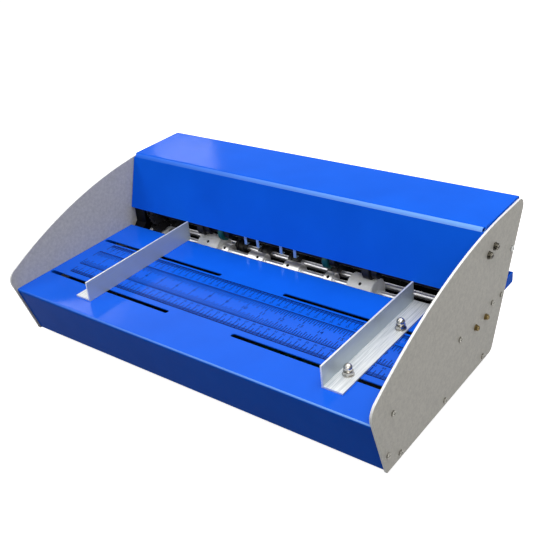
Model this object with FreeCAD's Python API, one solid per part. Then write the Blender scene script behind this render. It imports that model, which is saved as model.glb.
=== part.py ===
import FreeCAD, Part
import math
import os

# Desktop paper creasing machine, millimetres. X runs across the machine and is zero midway
# between the side plates, Y runs from the feed edge to the delivery side, and Z is zero at the
# bottom edge of the side plates. At the end everything is moved so that the origin lies under
# the middle of the whole machine, at the level of its feet.

# ---- driving dimensions: casing ----
inner_width = 500.0          # clear distance between the two side plates
plate_thickness = 2.5
sheet = 1.2                  # folded steel panels
side_gap = 0.3               # between a panel's end flange and the side plate
bend_radius = 2.4            # outside radius of the folds
panel_inset = 2.0            # how far the blue panels lie inside the plates' outline

front_foot_y = 1.0           # front end of the plates' bottom edge
front_lean = 16.2            # degrees, the front edge leans forward going up
nose_radius = 15.0
crown_y = 250.0              # where the long top arc becomes level
crown_z = 157.7
crown_radius = 547.0
rear_base_y = 227.5          # rear end of the plates' bottom edge
rear_lean = 26.1             # degrees, the rear edge leans back going up
rear_top_radius = 10.0
rear_base_radius = 8.0

table_z = 66.3               # top face of the feed table
table_rear_y = 180.6
table_lip = 6.0
panel_flange = 12.0          # depth of the screwed end flanges
base_lip = 14.0

slot_front_y = 36.2          # guide slots in the table
slot_rear_y = 129.0
slot_width = 6.0
slot_inner_x = 46.0          # where the slots end, either side of the middle
slot_edge = 2.6              # metal left between a slot and the table's end

cover_front_y = 185.0        # lower edge of the cover's front face
cover_front_z = 90.6
cover_bend_y = 206.8         # front fold of the cover
cover_top_z = 159.8
cover_bend_radius = 7.0
cover_rear_inset = 2.5       # the cover's back face, inside the plates' rear edge
cover_rear_z = 95.0          # lower edge of the cover's back face
cover_side_gap = 0.8
cover_front_strip = 9.0      # widths of the cover's end flange
cover_top_strip = 14.0
cover_rear_strip = 16.0
hinge_y = 271.3
hinge_z = 107.4
hinge_radius = 2.0
hinge_clearance = 0.08
relief = 2.0                 # bend relief notches at the cover's front fold, along X
relief_reach = 3.0           # along Y, either side of the fold
relief_depth = 4.5

tray_front_y = 243.0         # delivery tray, a low open box behind the rollers
tray_rear_y = 286.5
tray_floor_z = 58.1          # its floor lies below the table, so that the sheets drop in
tray_wall = 11.4             # height of its walls above the floor
tray_lip = 5.0

pan_lift = 0.2               # base pan's flange above the plates' bottom edge
pan_rear_gap = 8.0
flange_hole_play = 0.1
vent_width = 3.0             # upright vents in the rear panel
vent_pitch = 20.0
vent_count = 14
vent_z0, vent_z1 = 22.0, 44.0

foot_height = 8.0
foot_radius = 10.0
foot_inset_x = 28.0
foot_front_y = 32.0
foot_rear_y = 196.0

# ---- driving dimensions: shafts and rollers ----
lower_shaft_radius = 4.0
upper_shaft_radius = 4.0
feed_roller_radius = 17.5
press_wheel_radius = 12.0
anvil_radius = 13.2
blade_radius = 14.0
paper_gap = 0.3
paper_z = table_z + 1.6      # height at which the sheet runs between the rollers
front_shaft_y = 203.0
rear_shaft_y = 226.5
rear_drop = 3.0              # the rear pair lies lower, and leads the sheet down to the tray
fit = 0.05                   # radial play of shafts in bores
roller_fit = 0.02            # radial play of pieces clamped on a shaft

feed_roller_x = (-122.0, 108.0)
feed_roller_length = 34.0
narrow_collar_x = (-98.5, 60.8)
narrow_collar_length = 12.0
wide_collar_x = (-48.4, 7.2)
wide_collar_length = 24.0
wide_screw_x = (-44.8, 2.0)  # their set screws sit off the middle
collar_radius = 10.0
set_screw_radius = 2.0
set_screw_angle = 128.0      # degrees from +Y about the shaft
press_wheel_x = (-133.0, 116.0)
press_wheel_length = 10.0
green_ring_radius = 12.5
green_ring_length = 8.0
upper_collar_radius = 9.0
upper_collar_length = 8.0
upper_collar_gap = 0.5       # between a wheel and the collar beside it
tool_x = (-90.0, -52.0, -5.0, 54.0)
blade_width = 3.0
blade_hub_radius = 8.0
blade_hub_length = 10.0
anvil_width = 14.0
anvil_groove_depth = 1.2
anvil_groove_play = 0.4      # either side of the blade

finger_x = (-56.0, -37.0, -1.5, 19.0)
finger_width = 4.0
finger_thickness = 0.8
finger_lift = 8.0            # lower end of the fingers above the sheet
finger_hook = 5.0
bar_height = 6.0
bar_depth = 3.6

# ---- driving dimensions: bearings and drive ----
block_length = 18.0          # bearing block, measured along X from the plate
block_front_y = table_rear_y + 1.0
block_rear_y = 241.0
block_wall = 5.4             # between a block's rear corner and the plate's rear edge
block_bottom_z = 31.0
block_step_z = 86.0          # above this the block stands clear of the cover's flange
block_top_z = 102.0
block_head_y = 190.8
block_head_gap = 4.0
bearing_radius = 10.5
upper_bearing_radius = 9.5
bearing_width = 5.0
bearing_start = 1.0          # the bearings' inner faces, inside the blocks' inner faces
shaft_end = 8.0              # how far a shaft reaches into a block

gear_width = 6.0
gear_pitch = 8.0             # spacing of the gear planes along the shafts
gear_start = 3.0             # first gear plane, from the block's face
shaft_gear_teeth = 20
small_gear_teeth = 12
idler_teeth = 14
small_module = 1.3
idler_pin_radius = 3.0

pulley_width = 9.0
front_pulley_radius = 9.0
motor_pulley_radius = 8.0
belt_thickness = 1.3
belt_play = 0.15
motor_y = 83.0
motor_z = 32.0
motor_radius = 25.0
motor_length = 70.0
gearbox_length = 24.0
motor_shaft_radius = 4.0
motor_screw_circle = 17.0
bracket_thickness = 2.0
bracket_width = 64.0
bracket_foot = 30.0

# ---- driving dimensions: control board ----
board_x0, board_y0 = 40.0, 44.0
board_length, board_width = 90.0, 64.0
board_thickness = 1.6
board_hole_in = 4.0
standoff_height = 8.0
standoff_flats = 5.5
# blocks on the board: place along X and Y from its corner, then length, width and height
board_blocks = [(9.0, 9.0, 27.0, 25.0, 22.0),      # transformer
                (42.0, 6.0, 16.0, 12.0, 15.0),     # relay
                (9.0, 52.0, 41.0, 9.0, 9.0),       # terminal strip
                (66.0, 48.0, 16.0, 12.0, 4.0)]     # processor
# capacitors: place along X and Y from the corner, then radius and height
board_cans = [(50.0, 34.0, 7.0, 20.0), (68.0, 34.0, 5.0, 14.0)]

# ---- driving dimensions: guides ----
guide_leg = 24.0
guide_height = 25.0
guide_thickness = 2.0
guide_front_y = 8.5
guide_rear_y = 184.0
left_guide_gap = 105.9       # from a side plate's inner face to the guide's working face
right_guide_gap = 70.5
left_screw_in = (11.5, 11.5)   # from the working face to the front and the rear screw
right_screw_in = (12.5, 17.0)
guide_screw_radius = 2.5
guide_screw_play = 0.1
guide_lift = 0.15            # paint film between a guide and the table
clamp_washer_radius = 6.2
clamp_nut_flats = 10.0
clamp_dome_radius = 4.5
clamp_head_radius = 4.6

# ---- driving dimensions: controls on the left plate ----
control_z = 33.0
inlet_y = 56.0
rocker_y = 104.0
knob_y = 148.0
knob_radius = 13.0
knob_height = 14.0
knob_travel_gap = 0.4
inlet_width, inlet_height = 27.0, 20.0       # openings in the plate
rocker_width, rocker_height = 26.0, 19.0
pot_radius = 3.5
moulding_play = 0.2
inlet_rim_width, inlet_rim_height = 40.0, 24.0
inlet_body_depth = 22.0
inlet_well_width, inlet_well_height, inlet_well_depth = 23.0, 16.0, 15.0
inlet_screw_out = 16.5
rim_thickness = 2.0
switch_rim_width, switch_rim_height = 31.0, 23.0
switch_body_depth = 20.0
switch_well_width, switch_well_height, switch_well_depth = 23.2, 14.0, 14.0
rocker_pivot_depth = 6.0
rocker_pin_radius = 1.5
rocker_tilt = 7.0            # degrees either way
rocker_radius = 10.9
rocker_length = 11.2
spindle_radius = 2.9
pot_nut_corner = 6.0
knob_ribs = 24

# ---- driving dimensions: screws and bolts of the side plates ----
screw_radius = 1.5
screw_head_radius, screw_head_height = 3.1, 1.9
screw_depth = 5.0            # reach of a screw past the plate
bolt_radius = 1.8
bolt_head_radius, bolt_head_height = 3.0, 3.2
bolt_washer_radius, bolt_washer_height = 3.6, 1.0
bolt_depth = 9.0
hinge_head_radius, hinge_head_height = 3.4, 2.2
switch_head_radius, switch_head_height = 3.9, 3.4
switch_washer_radius, switch_washer_height = 4.6, 0.8
switch_slot_travel = 3.0
switch_slot_play = 0.2
panel_screw_in = 5.0         # panel screws below the top face of the table
base_screw_z = 6.5
tray_screw_lift = 3.2        # above the tray's floor

half = inner_width / 2.0
plate_out = half + plate_thickness
panel_half = half - side_gap
tan_front = math.tan(math.radians(front_lean))
tan_rear = math.tan(math.radians(rear_lean))
lower_front_z = paper_z - feed_roller_radius
lower_rear_z = lower_front_z - rear_drop
upper_front_z = paper_z + paper_gap + press_wheel_radius
upper_rear_z = lower_rear_z + anvil_radius + paper_gap + blade_radius
block_face = half - block_length
shaft_half = block_face + shaft_end
left_guide_x = left_guide_gap - half
right_guide_x = half - right_guide_gap
pan_top = pan_lift + 2 * sheet

# where the screws and bolts pass through the side plates, as (y, z)
flange_screw_z = table_z - panel_screw_in
panel_screws = [(14.9, flange_screw_z), (149.4, flange_screw_z), (4.0, 19.9),
                (26.0, base_screw_z), (116.6, base_screw_z), (204.8, base_screw_z)]
tray_screw = (248.6, tray_floor_z + tray_screw_lift)
block_screw = (225.4, 63.4)
bearing_bolts = [(block_front_y + 4.0, 54.7), (209.4, 54.7)]
switch_screws = [(212.9, 127.3), (227.1, 130.9)]


# ---- helpers ----
def vec(x, y, z):
    return FreeCAD.Vector(x, y, z)


def box(x0, x1, y0, y1, z0, z1):
    return Part.makeBox(x1 - x0, y1 - y0, z1 - z0, vec(x0, y0, z0))


def rod_x(x0, x1, y, z, radius):
    return Part.makeCylinder(radius, x1 - x0, vec(x0, y, z), vec(1, 0, 0))


def rod_z(x, y, z0, z1, radius):
    return Part.makeCylinder(radius, z1 - z0, vec(x, y, z0), vec(0, 0, 1))


def hex_z(x, y, z0, z1, flats):
    corner = flats / 2.0 / math.cos(math.pi / 6)
    points = [vec(x + corner * math.cos(math.radians(60 * i)),
                  y + corner * math.sin(math.radians(60 * i)), z0) for i in range(6)]
    return Part.Face(Part.makePolygon(points + points[:1])).extrude(vec(0, 0, z1 - z0))


def ring_x(x0, x1, y, z, outer, inner):
    return rod_x(x0, x1, y, z, outer).cut(rod_x(x0 - 1, x1 + 1, y, z, inner))


def profile_x(points, x0, x1):
    wire = Part.makePolygon([vec(x0, y, z) for y, z in points + points[:1]])
    return Part.Face(wire).extrude(vec(x1 - x0, 0, 0))


def round_corners(shape, corners):
    """Rounds the edges parallel to X that pass through the given (y, z, radius) corners."""
    for y, z, radius in corners:
        edges = [edge for edge in shape.Edges
                 if all(math.hypot(v.Point.y - y, v.Point.z - z) < 1e-4 for v in edge.Vertexes)]
        shape = shape.makeFillet(radius, edges)
    return shape


def offset_line(points, distance):
    """A polyline in the YZ plane, moved sideways by a distance, with mitred corners."""
    moved = []
    for i, (y, z) in enumerate(points):
        normals = []
        if i > 0:
            dy, dz = y - points[i - 1][0], z - points[i - 1][1]
            length = math.hypot(dy, dz)
            normals.append((-dz / length, dy / length))
        if i < len(points) - 1:
            dy, dz = points[i + 1][0] - y, points[i + 1][1] - z
            length = math.hypot(dy, dz)
            normals.append((-dz / length, dy / length))
        ny = sum(n[0] for n in normals) / len(normals)
        nz = sum(n[1] for n in normals) / len(normals)
        scale = distance / (ny * ny + nz * nz)
        moved.append((y + ny * scale, z + nz * scale))
    return moved


def folded_sheet(points, thickness, x0, x1, radii):
    """A bent sheet: its outside surface follows the points, its wall lies to their right."""
    inside = offset_line(points, -thickness)
    solid = profile_x(points + inside[::-1], x0, x1)
    corners = []
    for i in range(1, len(points) - 1):
        outer, inner = points[i], inside[i]
        before, after = points[i - 1], points[i + 1]
        turn = ((outer[0] - before[0]) * (after[1] - outer[1])
                - (outer[1] - before[1]) * (after[0] - outer[0]))
        radius = radii[i - 1]
        if turn < 0:
            corners += [(outer[0], outer[1], radius), (inner[0], inner[1], radius - thickness)]
        else:
            corners += [(outer[0], outer[1], radius - thickness), (inner[0], inner[1], radius)]
    return round_corners(solid, corners)


def screw_x(x_face, y, z, side, head_radius, head_height, shank_radius, depth, recess=True):
    """A pan-head screw driven along X into a face; side is +1 on the right plate."""
    head = rod_x(0, head_height, y, z, head_radius)
    rim = [edge for edge in head.Edges if edge.BoundBox.XMin > head_height - 1e-3]
    head = head.makeChamfer(head_height * 0.35, rim)
    shape = head.fuse(rod_x(-depth, 0, y, z, shank_radius))
    if recess:
        arm, half_slot = head_radius * 0.62, head_radius * 0.12
        deep = head_height * 0.5
        shape = shape.cut(box(head_height - deep, head_height + 1, y - arm, y + arm,
                              z - half_slot, z + half_slot))
        shape = shape.cut(box(head_height - deep, head_height + 1, y - half_slot, y + half_slot,
                              z - arm, z + arm))
    if side < 0:
        shape = shape.mirror(vec(0, 0, 0), vec(1, 0, 0))
    shape.translate(vec(x_face, 0, 0))
    return shape


def gear(x0, x1, y, z, teeth, module, bore, first_angle):
    """A spur gear on an X axis whose first tooth points at first_angle, degrees from +Y."""
    pitch_radius = module * teeth / 2.0
    root, tip = pitch_radius - 1.15 * module, pitch_radius + 0.8 * module
    step = 360.0 / teeth
    points = []
    for i in range(teeth):
        middle = first_angle + i * step
        for radius, share in ((root, -0.27), (tip, -0.10), (tip, 0.10), (root, 0.27)):
            angle = math.radians(middle + share * step)
            points.append((y + radius * math.cos(angle), z + radius * math.sin(angle)))
    blank = profile_x(points, x0, x1)
    return blank.cut(rod_x(x0 - 1, x1 + 1, y, z, bore))


def meshing_angle(first_angle, teeth, other_teeth, direction):
    """First-tooth angle of a gear that meshes with another lying in the given direction."""
    share = (direction - first_angle) * teeth / 360.0
    return direction + 180.0 - (0.5 - share) * 360.0 / other_teeth


def both_sides(make):
    """The same piece on both ends of the machine; make takes the side, -1 or +1."""
    return Part.Compound([make(-1), make(1)])


def mirrored(shape, side):
    return shape if side > 0 else shape.mirror(vec(0, 0, 0), vec(1, 0, 0))


def front_line(z, inset=0.0):
    return front_foot_y - z * tan_front + inset


def rear_line(z, inset=0.0):
    return rear_base_y + z * tan_rear - inset


parts = {}


# ---- side plates ----
def side_plate(side):
    nose_z = crown_z
    for _ in range(40):
        y = front_line(nose_z)
        nose_z = crown_z - crown_radius + math.sqrt(crown_radius ** 2 - (crown_y - y) ** 2)
    nose = (front_line(nose_z), nose_z)
    middle_y = (nose[0] + crown_y) / 2.0
    middle_z = crown_z - crown_radius + math.sqrt(crown_radius ** 2 - (crown_y - middle_y) ** 2)
    rear_top = (rear_line(crown_z), crown_z)
    x = half
    corners = [vec(x, front_foot_y, 0), vec(x, *nose), vec(x, crown_y, crown_z),
               vec(x, *rear_top), vec(x, rear_base_y, 0)]
    edges = [Part.LineSegment(corners[0], corners[1]).toShape(),
             Part.Arc(corners[1], vec(x, middle_y, middle_z), corners[2]).toShape(),
             Part.LineSegment(corners[2], corners[3]).toShape(),
             Part.LineSegment(corners[3], corners[4]).toShape(),
             Part.LineSegment(corners[4], corners[0]).toShape()]
    plate = Part.Face(Part.Wire(edges)).extrude(vec(plate_thickness, 0, 0))
    plate = round_corners(plate, [(nose[0], nose[1], nose_radius),
                                  (rear_top[0], rear_top[1], rear_top_radius),
                                  (rear_base_y, 0.0, rear_base_radius),
                                  (front_foot_y, 0.0, 2.0)])
    holes = [(y, z, screw_radius + fit) for y, z in panel_screws + [tray_screw, block_screw]]
    holes += [(y, z, bolt_radius + fit) for y, z in bearing_bolts]
    holes += [(hinge_y, hinge_z, hinge_radius + fit)]
    for y, z, radius in holes:
        plate = plate.cut(rod_x(half - 1, plate_out + 1, y, z, radius))
    if side > 0:
        for y, z in switch_screws:
            plate = plate.cut(slot_x(y, z))
        return plate
    plate = mirrored(plate, side)
    plate = plate.cut(box(-plate_out - 1, -half + 1, inlet_y - inlet_width / 2,
                          inlet_y + inlet_width / 2, control_z - inlet_height / 2,
                          control_z + inlet_height / 2))
    plate = plate.cut(box(-plate_out - 1, -half + 1, rocker_y - rocker_width / 2,
                          rocker_y + rocker_width / 2, control_z - rocker_height / 2,
                          control_z + rocker_height / 2))
    return plate.cut(rod_x(-plate_out - 1, -half + 1, knob_y, control_z, pot_radius + fit))


def slot_x(y, z):
    """An upright slot for a switch screw, so that the switch can be set in height."""
    radius = screw_radius + switch_slot_play
    travel = switch_slot_travel
    slot = rod_x(half - 1, plate_out + 1, y, z - travel, radius)
    slot = slot.fuse(rod_x(half - 1, plate_out + 1, y, z + travel, radius))
    return slot.fuse(box(half - 1, plate_out + 1, y - radius, y + radius, z - travel, z + travel))


parts["right_side_plate"] = side_plate(1)
parts["left_side_plate"] = side_plate(-1)


# ---- feed table: one sheet with the sloping front, the table and its end flanges ----
def end_flange(points, side, holes, half_length=panel_half):
    """A flat flange at the end of a folded panel, with its screw holes."""
    flange = profile_x(points, half_length - sheet, half_length)
    for y, z in holes:
        flange = flange.cut(rod_x(half_length - sheet - 1, half_length + 1, y, z,
                                  screw_radius + flange_hole_play))
    return mirrored(flange, side)


def guide_slot(side, y):
    inner, outer = slot_inner_x, panel_half - slot_edge
    radius = slot_width / 2.0
    low, high = table_z - sheet - 1, table_z + 1
    slot = box(inner + radius, outer - radius, y - radius, y + radius, low, high)
    slot = slot.fuse(rod_z(inner + radius, y, low, high, radius))
    slot = slot.fuse(rod_z(outer - radius, y, low, high, radius))
    return mirrored(slot, side)


def feed_table():
    outline = [(front_line(pan_lift, panel_inset) + base_lip, pan_lift),
               (front_line(pan_lift, panel_inset), pan_lift),
               (front_line(table_z, panel_inset), table_z),
               (table_rear_y, table_z), (table_rear_y, table_z - table_lip)]
    table = folded_sheet(outline, sheet, -panel_half, panel_half, [bend_radius] * 3)
    inner_front = panel_inset + sheet / math.cos(math.radians(front_lean))
    under = table_z - sheet
    side_strip = [(front_line(2.0, inner_front) - 0.6, 2.0 + sheet),
                  (front_line(under, inner_front) - 0.6, under + 0.6),
                  (table_rear_y - sheet + 0.4, under + 0.6),
                  (table_rear_y - sheet + 0.4, under - panel_flange + 4.0),
                  (table_rear_y - 10.0, under - panel_flange),
                  (front_line(under, inner_front) + panel_flange + 14.0, under - panel_flange),
                  (front_line(2.0, inner_front) + panel_flange, 2.0 + sheet)]
    for side in (-1, 1):
        table = table.fuse(end_flange(side_strip, side, panel_screws[:3]))
        for y in (slot_front_y, slot_rear_y):
            table = table.cut(guide_slot(side, y))
    return table.removeSplitter()


parts["feed_table"] = feed_table()


# ---- base pan, rear panel and delivery tray ----
def base_pan():
    low = pan_lift + sheet
    front = front_line(0.0, panel_inset) + 4.0
    rear = rear_line(0.0) - pan_rear_gap
    pan = box(-panel_half, panel_half, front, rear, low, low + sheet)
    for side in (-1, 1):
        flange = box(panel_half - sheet, panel_half, front + 12.0, rear - 2.0, low, 14.0)
        for y, z in panel_screws[3:]:
            flange = flange.cut(rod_x(panel_half - 3, panel_half + 1, y, z,
                                      screw_radius + flange_hole_play))
        pan = pan.fuse(mirrored(flange, side))
        for y in (foot_front_y, foot_rear_y):
            x = side * (half - foot_inset_x)
            pan = pan.cut(rod_z(x, y, low - 1, low + sheet + 1, 2.1))
    return pan.removeSplitter()


parts["base_pan"] = base_pan()


def rear_panel():
    inset = 3.0
    low, high = pan_lift, tray_floor_z - sheet
    outline = [(tray_front_y + bend_radius + sheet, high), (rear_line(high, inset), high),
               (rear_line(low, inset), low), (rear_line(low, inset) - 12.0, low)]
    panel = folded_sheet(outline, sheet, -panel_half, panel_half, [bend_radius] * 2)
    wall = inset + sheet / math.cos(math.radians(rear_lean)) - 0.5
    top = block_bottom_z - 1.0
    foot = 15.0
    flange = [(rear_line(foot, wall), foot), (rear_line(top, wall), top),
              (rear_line(top, wall) - panel_flange, top),
              (rear_line(foot, wall) - panel_flange, foot)]
    for side in (-1, 1):
        panel = panel.fuse(end_flange(flange, side, []))
    for i in range(vent_count):
        x = (i - (vent_count - 1) / 2.0) * vent_pitch
        panel = panel.cut(box(x - vent_width / 2, x + vent_width / 2, rear_base_y - 30.0,
                              rear_base_y + 60.0, vent_z0, vent_z1))
    return panel.removeSplitter()


parts["rear_panel"] = rear_panel()


def output_tray():
    inner_rear = tray_rear_y - sheet
    top = tray_floor_z + tray_wall
    outline = [(tray_front_y, tray_floor_z - tray_lip), (tray_front_y, tray_floor_z),
               (inner_rear, tray_floor_z), (inner_rear, top)]
    tray = folded_sheet(outline, sheet, -panel_half, panel_half, [bend_radius] * 2)
    core = sheet / 2.0
    wall = [(tray_front_y, tray_floor_z - core), (inner_rear - core, tray_floor_z - core),
            (inner_rear + core, tray_floor_z + core), (inner_rear + core, top),
            (tray_front_y, top)]
    for side in (-1, 1):
        tray = tray.fuse(end_flange(wall, side, [tray_screw]))
    return tray.removeSplitter()


parts["output_tray"] = output_tray()


# ---- hinged cover: front, top and back of one sheet, with end flanges ----
cover_half = half - cover_side_gap
cover_tilt = (cover_bend_y - cover_front_y) / (cover_top_z - cover_front_z)


def cover_front_line(z, inset=0.0):
    return cover_front_y + (z - cover_front_z) * cover_tilt + inset


def top_cover():
    rear_top = (rear_line(cover_top_z, cover_rear_inset) - 9.0, cover_top_z)
    rear_edge_z = crown_z - 14.0
    outline = [(cover_front_y, cover_front_z), (cover_bend_y, cover_top_z), rear_top,
               (rear_line(rear_edge_z, cover_rear_inset), rear_edge_z),
               (rear_line(cover_rear_z, cover_rear_inset), cover_rear_z)]
    radii = [cover_bend_radius, bend_radius, bend_radius]
    cover = folded_sheet(outline, sheet, -cover_half, cover_half, radii)
    skin = 0.7
    strip_z = cover_top_z - cover_top_strip
    front_in = skin + cover_front_strip
    back = rear_line(hinge_z, cover_rear_inset + skin)
    outer = [(cover_front_line(cover_front_z + 1.0, skin), cover_front_z + 1.0),
             (cover_front_line(cover_top_z - 8.0, skin), cover_top_z - 8.0),
             (cover_front_line(cover_top_z, skin) + 6.0, cover_top_z - skin),
             (rear_top[0] - 3.0, cover_top_z - skin),
             (rear_line(rear_edge_z, cover_rear_inset + skin), rear_edge_z),
             (back, hinge_z), (back - 4.0, hinge_z - 9.0),
             (back - cover_rear_strip, hinge_z - 9.0), (back - cover_rear_strip, hinge_z + 12.0),
             (rear_line(strip_z, cover_rear_inset) - cover_rear_strip, strip_z),
             (cover_front_line(strip_z, front_in), strip_z),
             (cover_front_line(cover_front_z + 1.0, front_in), cover_front_z + 1.0)]
    for side in (-1, 1):
        flange = profile_x(outer, cover_half - sheet, cover_half)
        flange = flange.cut(rod_x(cover_half - 4, cover_half + 1, hinge_y, hinge_z,
                                  hinge_radius + hinge_clearance))
        cover = cover.fuse(mirrored(flange, side))
        notch = box(cover_half - relief, cover_half + 1, cover_bend_y - relief_reach,
                    cover_bend_y + relief_reach, cover_top_z - relief_depth, cover_top_z + 1)
        cover = cover.cut(mirrored(notch, side))
    return cover.removeSplitter()


parts["top_cover"] = top_cover()


def hinge_pin(side):
    pin = screw_x(plate_out, hinge_y, hinge_z, 1, hinge_head_radius, hinge_head_height,
                  hinge_radius, plate_thickness + 5.5)
    nut_start = cover_half - sheet - 0.3
    nut_corner = hinge_radius + 1.4
    nut = Part.Face(Part.makePolygon(
        [vec(nut_start, hinge_y + nut_corner * math.cos(math.radians(60 * i)),
             hinge_z + nut_corner * math.sin(math.radians(60 * i))) for i in range(7)]))
    return mirrored(pin.fuse(nut.extrude(vec(-3.0, 0, 0))), side)


parts["hinge_screws"] = both_sides(hinge_pin)


def cover_rest(side):
    y = cover_front_y + 7.0
    radius = 2.5
    peg = rod_x(half - block_head_gap + 0.3, half, y, cover_front_z + 0.7 - radius, radius)
    return mirrored(peg, side)


parts["cover_rests"] = both_sides(cover_rest)

# ---- bearing blocks and bearings ----
shaft_places = [(front_shaft_y, lower_front_z, lower_shaft_radius, bearing_radius),
                (rear_shaft_y, lower_rear_z, lower_shaft_radius, bearing_radius),
                (front_shaft_y, upper_front_z, upper_shaft_radius, upper_bearing_radius),
                (rear_shaft_y, upper_rear_z, upper_shaft_radius, upper_bearing_radius)]
idler_reach = small_module * (small_gear_teeth + idler_teeth) / 2.0
axis_rise = lower_rear_z - lower_front_z
axis_run = rear_shaft_y - front_shaft_y
axis_half = math.hypot(axis_rise, axis_run) / 2.0
idler_drop = math.sqrt(idler_reach ** 2 - axis_half ** 2)
idler_y = (front_shaft_y + rear_shaft_y) / 2.0 + idler_drop * axis_rise / (2 * axis_half)
idler_z = (lower_front_z + lower_rear_z) / 2.0 - idler_drop * axis_run / (2 * axis_half)


def bearing_block(side):
    lower = box(block_face, half, block_front_y, block_rear_y, block_bottom_z, block_step_z)
    head = box(block_face, half - block_head_gap, block_head_y, block_rear_y, block_step_z,
               block_top_z)
    block = lower.fuse(head)
    # in front, the block is rounded about the lower front shaft
    nose = box(block_face - 1, half + 1, block_front_y - 1, block_head_y, block_bottom_z - 1,
               block_top_z + 1)
    round_nose = rod_x(block_face - 2, half + 2, front_shaft_y, lower_front_z,
                       front_shaft_y - block_front_y)
    block = block.cut(nose.cut(round_nose))
    rear_corner = profile_x([(rear_line(block_bottom_z - 1, block_wall), block_bottom_z - 1),
                             (rear_line(block_top_z, block_wall), block_top_z),
                             (rear_line(block_top_z, block_wall), block_bottom_z - 1)],
                            block_face - 1, half + 1)
    block = block.cut(rear_corner)
    for y, z, shaft, outer in shaft_places:
        pocket = rod_x(block_face - 1, block_face + bearing_start + bearing_width, y, z,
                       outer + roller_fit)
        bore = rod_x(block_face - 1, block_face + shaft_end + 0.5, y, z, shaft + 0.5)
        block = block.cut(pocket).cut(bore)
    for y, z in bearing_bolts:
        block = block.cut(rod_x(half - 8.5, half + 1, y, z, bolt_radius + fit))
    y, z = block_screw
    block = block.cut(rod_x(half - 8.5, half + 1, y, z, screw_radius + fit))
    if side < 0:
        block = block.cut(rod_x(block_face - 1, block_face + 10, idler_y, idler_z,
                                idler_pin_radius + roller_fit))
    return mirrored(block.removeSplitter(), side)


parts["right_bearing_block"] = bearing_block(1)
parts["left_bearing_block"] = bearing_block(-1)


def ball_bearing(side, y, z, shaft, outer):
    start = block_face + bearing_start
    end = start + bearing_width
    bearing = ring_x(start, end, y, z, outer, shaft + fit)
    groove = ring_x(end - 0.6, end + 1, y, z, outer - 1.6, shaft + 1.8)
    inner_groove = ring_x(start - 1, start + 0.6, y, z, outer - 1.6, shaft + 1.8)
    return mirrored(bearing.cut(groove).cut(inner_groove), side)


parts["shaft_bearings"] = Part.Compound([ball_bearing(side, *place)
                                         for side in (-1, 1) for place in shaft_places])


def shaft(y, z, radius, keep_left=shaft_half):
    bar = rod_x(-keep_left, shaft_half, y, z, radius)
    rims = [e for e in bar.Edges if abs(e.BoundBox.XMax - e.BoundBox.XMin) < 1e-6]
    return bar.makeChamfer(0.6, rims)


parts["lower_front_shaft"] = shaft(front_shaft_y, lower_front_z, lower_shaft_radius)
parts["lower_rear_shaft"] = shaft(rear_shaft_y, lower_rear_z, lower_shaft_radius)
parts["upper_front_shaft"] = shaft(front_shaft_y, upper_front_z, upper_shaft_radius)
parts["upper_rear_shaft"] = shaft(rear_shaft_y, upper_rear_z, upper_shaft_radius)


# ---- pieces clamped on the shafts ----
def clamped_ring(x, length, y, z, outer, inner, screw_angle=None, edge=0.6):
    """A ring on a shaft with softened rims, drilled for a set screw where it has one."""
    ring = rod_x(x - length / 2, x + length / 2, y, z, outer)
    rims = [e for e in ring.Edges if abs(e.BoundBox.XMax - e.BoundBox.XMin) < 1e-6]
    ring = ring.makeChamfer(edge, rims)
    ring = ring.cut(rod_x(x - length / 2 - 1, x + length / 2 + 1, y, z, inner + roller_fit))
    if screw_angle is not None:
        ring = ring.cut(radial_rod(x, y, z, inner, outer + 1, set_screw_radius + fit,
                                   screw_angle))
    return ring


def radial_rod(x, y, z, start, end, radius, angle):
    """A rod that points outwards from a shaft's axis, at an angle in degrees from +Y."""
    dy, dz = math.cos(math.radians(angle)), math.sin(math.radians(angle))
    return Part.makeCylinder(radius, end - start, vec(x, y + start * dy, z + start * dz),
                             vec(0, dy, dz))


def set_screw(x, y, z, inner, outer, angle):
    screw = radial_rod(x, y, z, inner + 0.1, outer - 1.0, set_screw_radius, angle)
    return screw.cut(radial_rod(x, y, z, outer - 3.0, outer + 1, set_screw_radius * 0.55, angle))


parts["feed_rollers"] = Part.Compound(
    [clamped_ring(x, feed_roller_length, front_shaft_y, lower_front_z, feed_roller_radius,
                  lower_shaft_radius, set_screw_angle, 1.2) for x in feed_roller_x])
parts["narrow_collars"] = Part.Compound(
    [clamped_ring(x, narrow_collar_length, front_shaft_y, lower_front_z, collar_radius,
                  lower_shaft_radius, set_screw_angle) for x in narrow_collar_x])
parts["wide_collars"] = Part.Compound(
    [clamped_ring(x, wide_collar_length, front_shaft_y, lower_front_z, collar_radius,
                  lower_shaft_radius).cut(
        radial_rod(screw, front_shaft_y, lower_front_z, lower_shaft_radius, collar_radius + 1,
                   set_screw_radius + fit, set_screw_angle))
     for x, screw in zip(wide_collar_x, wide_screw_x)])
parts["set_screws"] = Part.Compound(
    [set_screw(x, front_shaft_y, lower_front_z, lower_shaft_radius, collar_radius,
               set_screw_angle) for x in narrow_collar_x + wide_screw_x]
    + [set_screw(x, front_shaft_y, lower_front_z, lower_shaft_radius, feed_roller_radius,
                 set_screw_angle) for x in feed_roller_x])
groove_half = blade_width / 2 + anvil_groove_play
parts["anvil_rings"] = Part.Compound(
    [clamped_ring(x, anvil_width, rear_shaft_y, lower_rear_z, anvil_radius,
                  lower_shaft_radius).cut(
        ring_x(x - groove_half, x + groove_half, rear_shaft_y, lower_rear_z,
               anvil_radius + 1, anvil_radius - anvil_groove_depth)) for x in tool_x])
parts["press_wheels"] = Part.Compound(
    [clamped_ring(x, press_wheel_length, front_shaft_y, upper_front_z, press_wheel_radius,
                  upper_shaft_radius, None, 1.0) for x in press_wheel_x])
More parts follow.
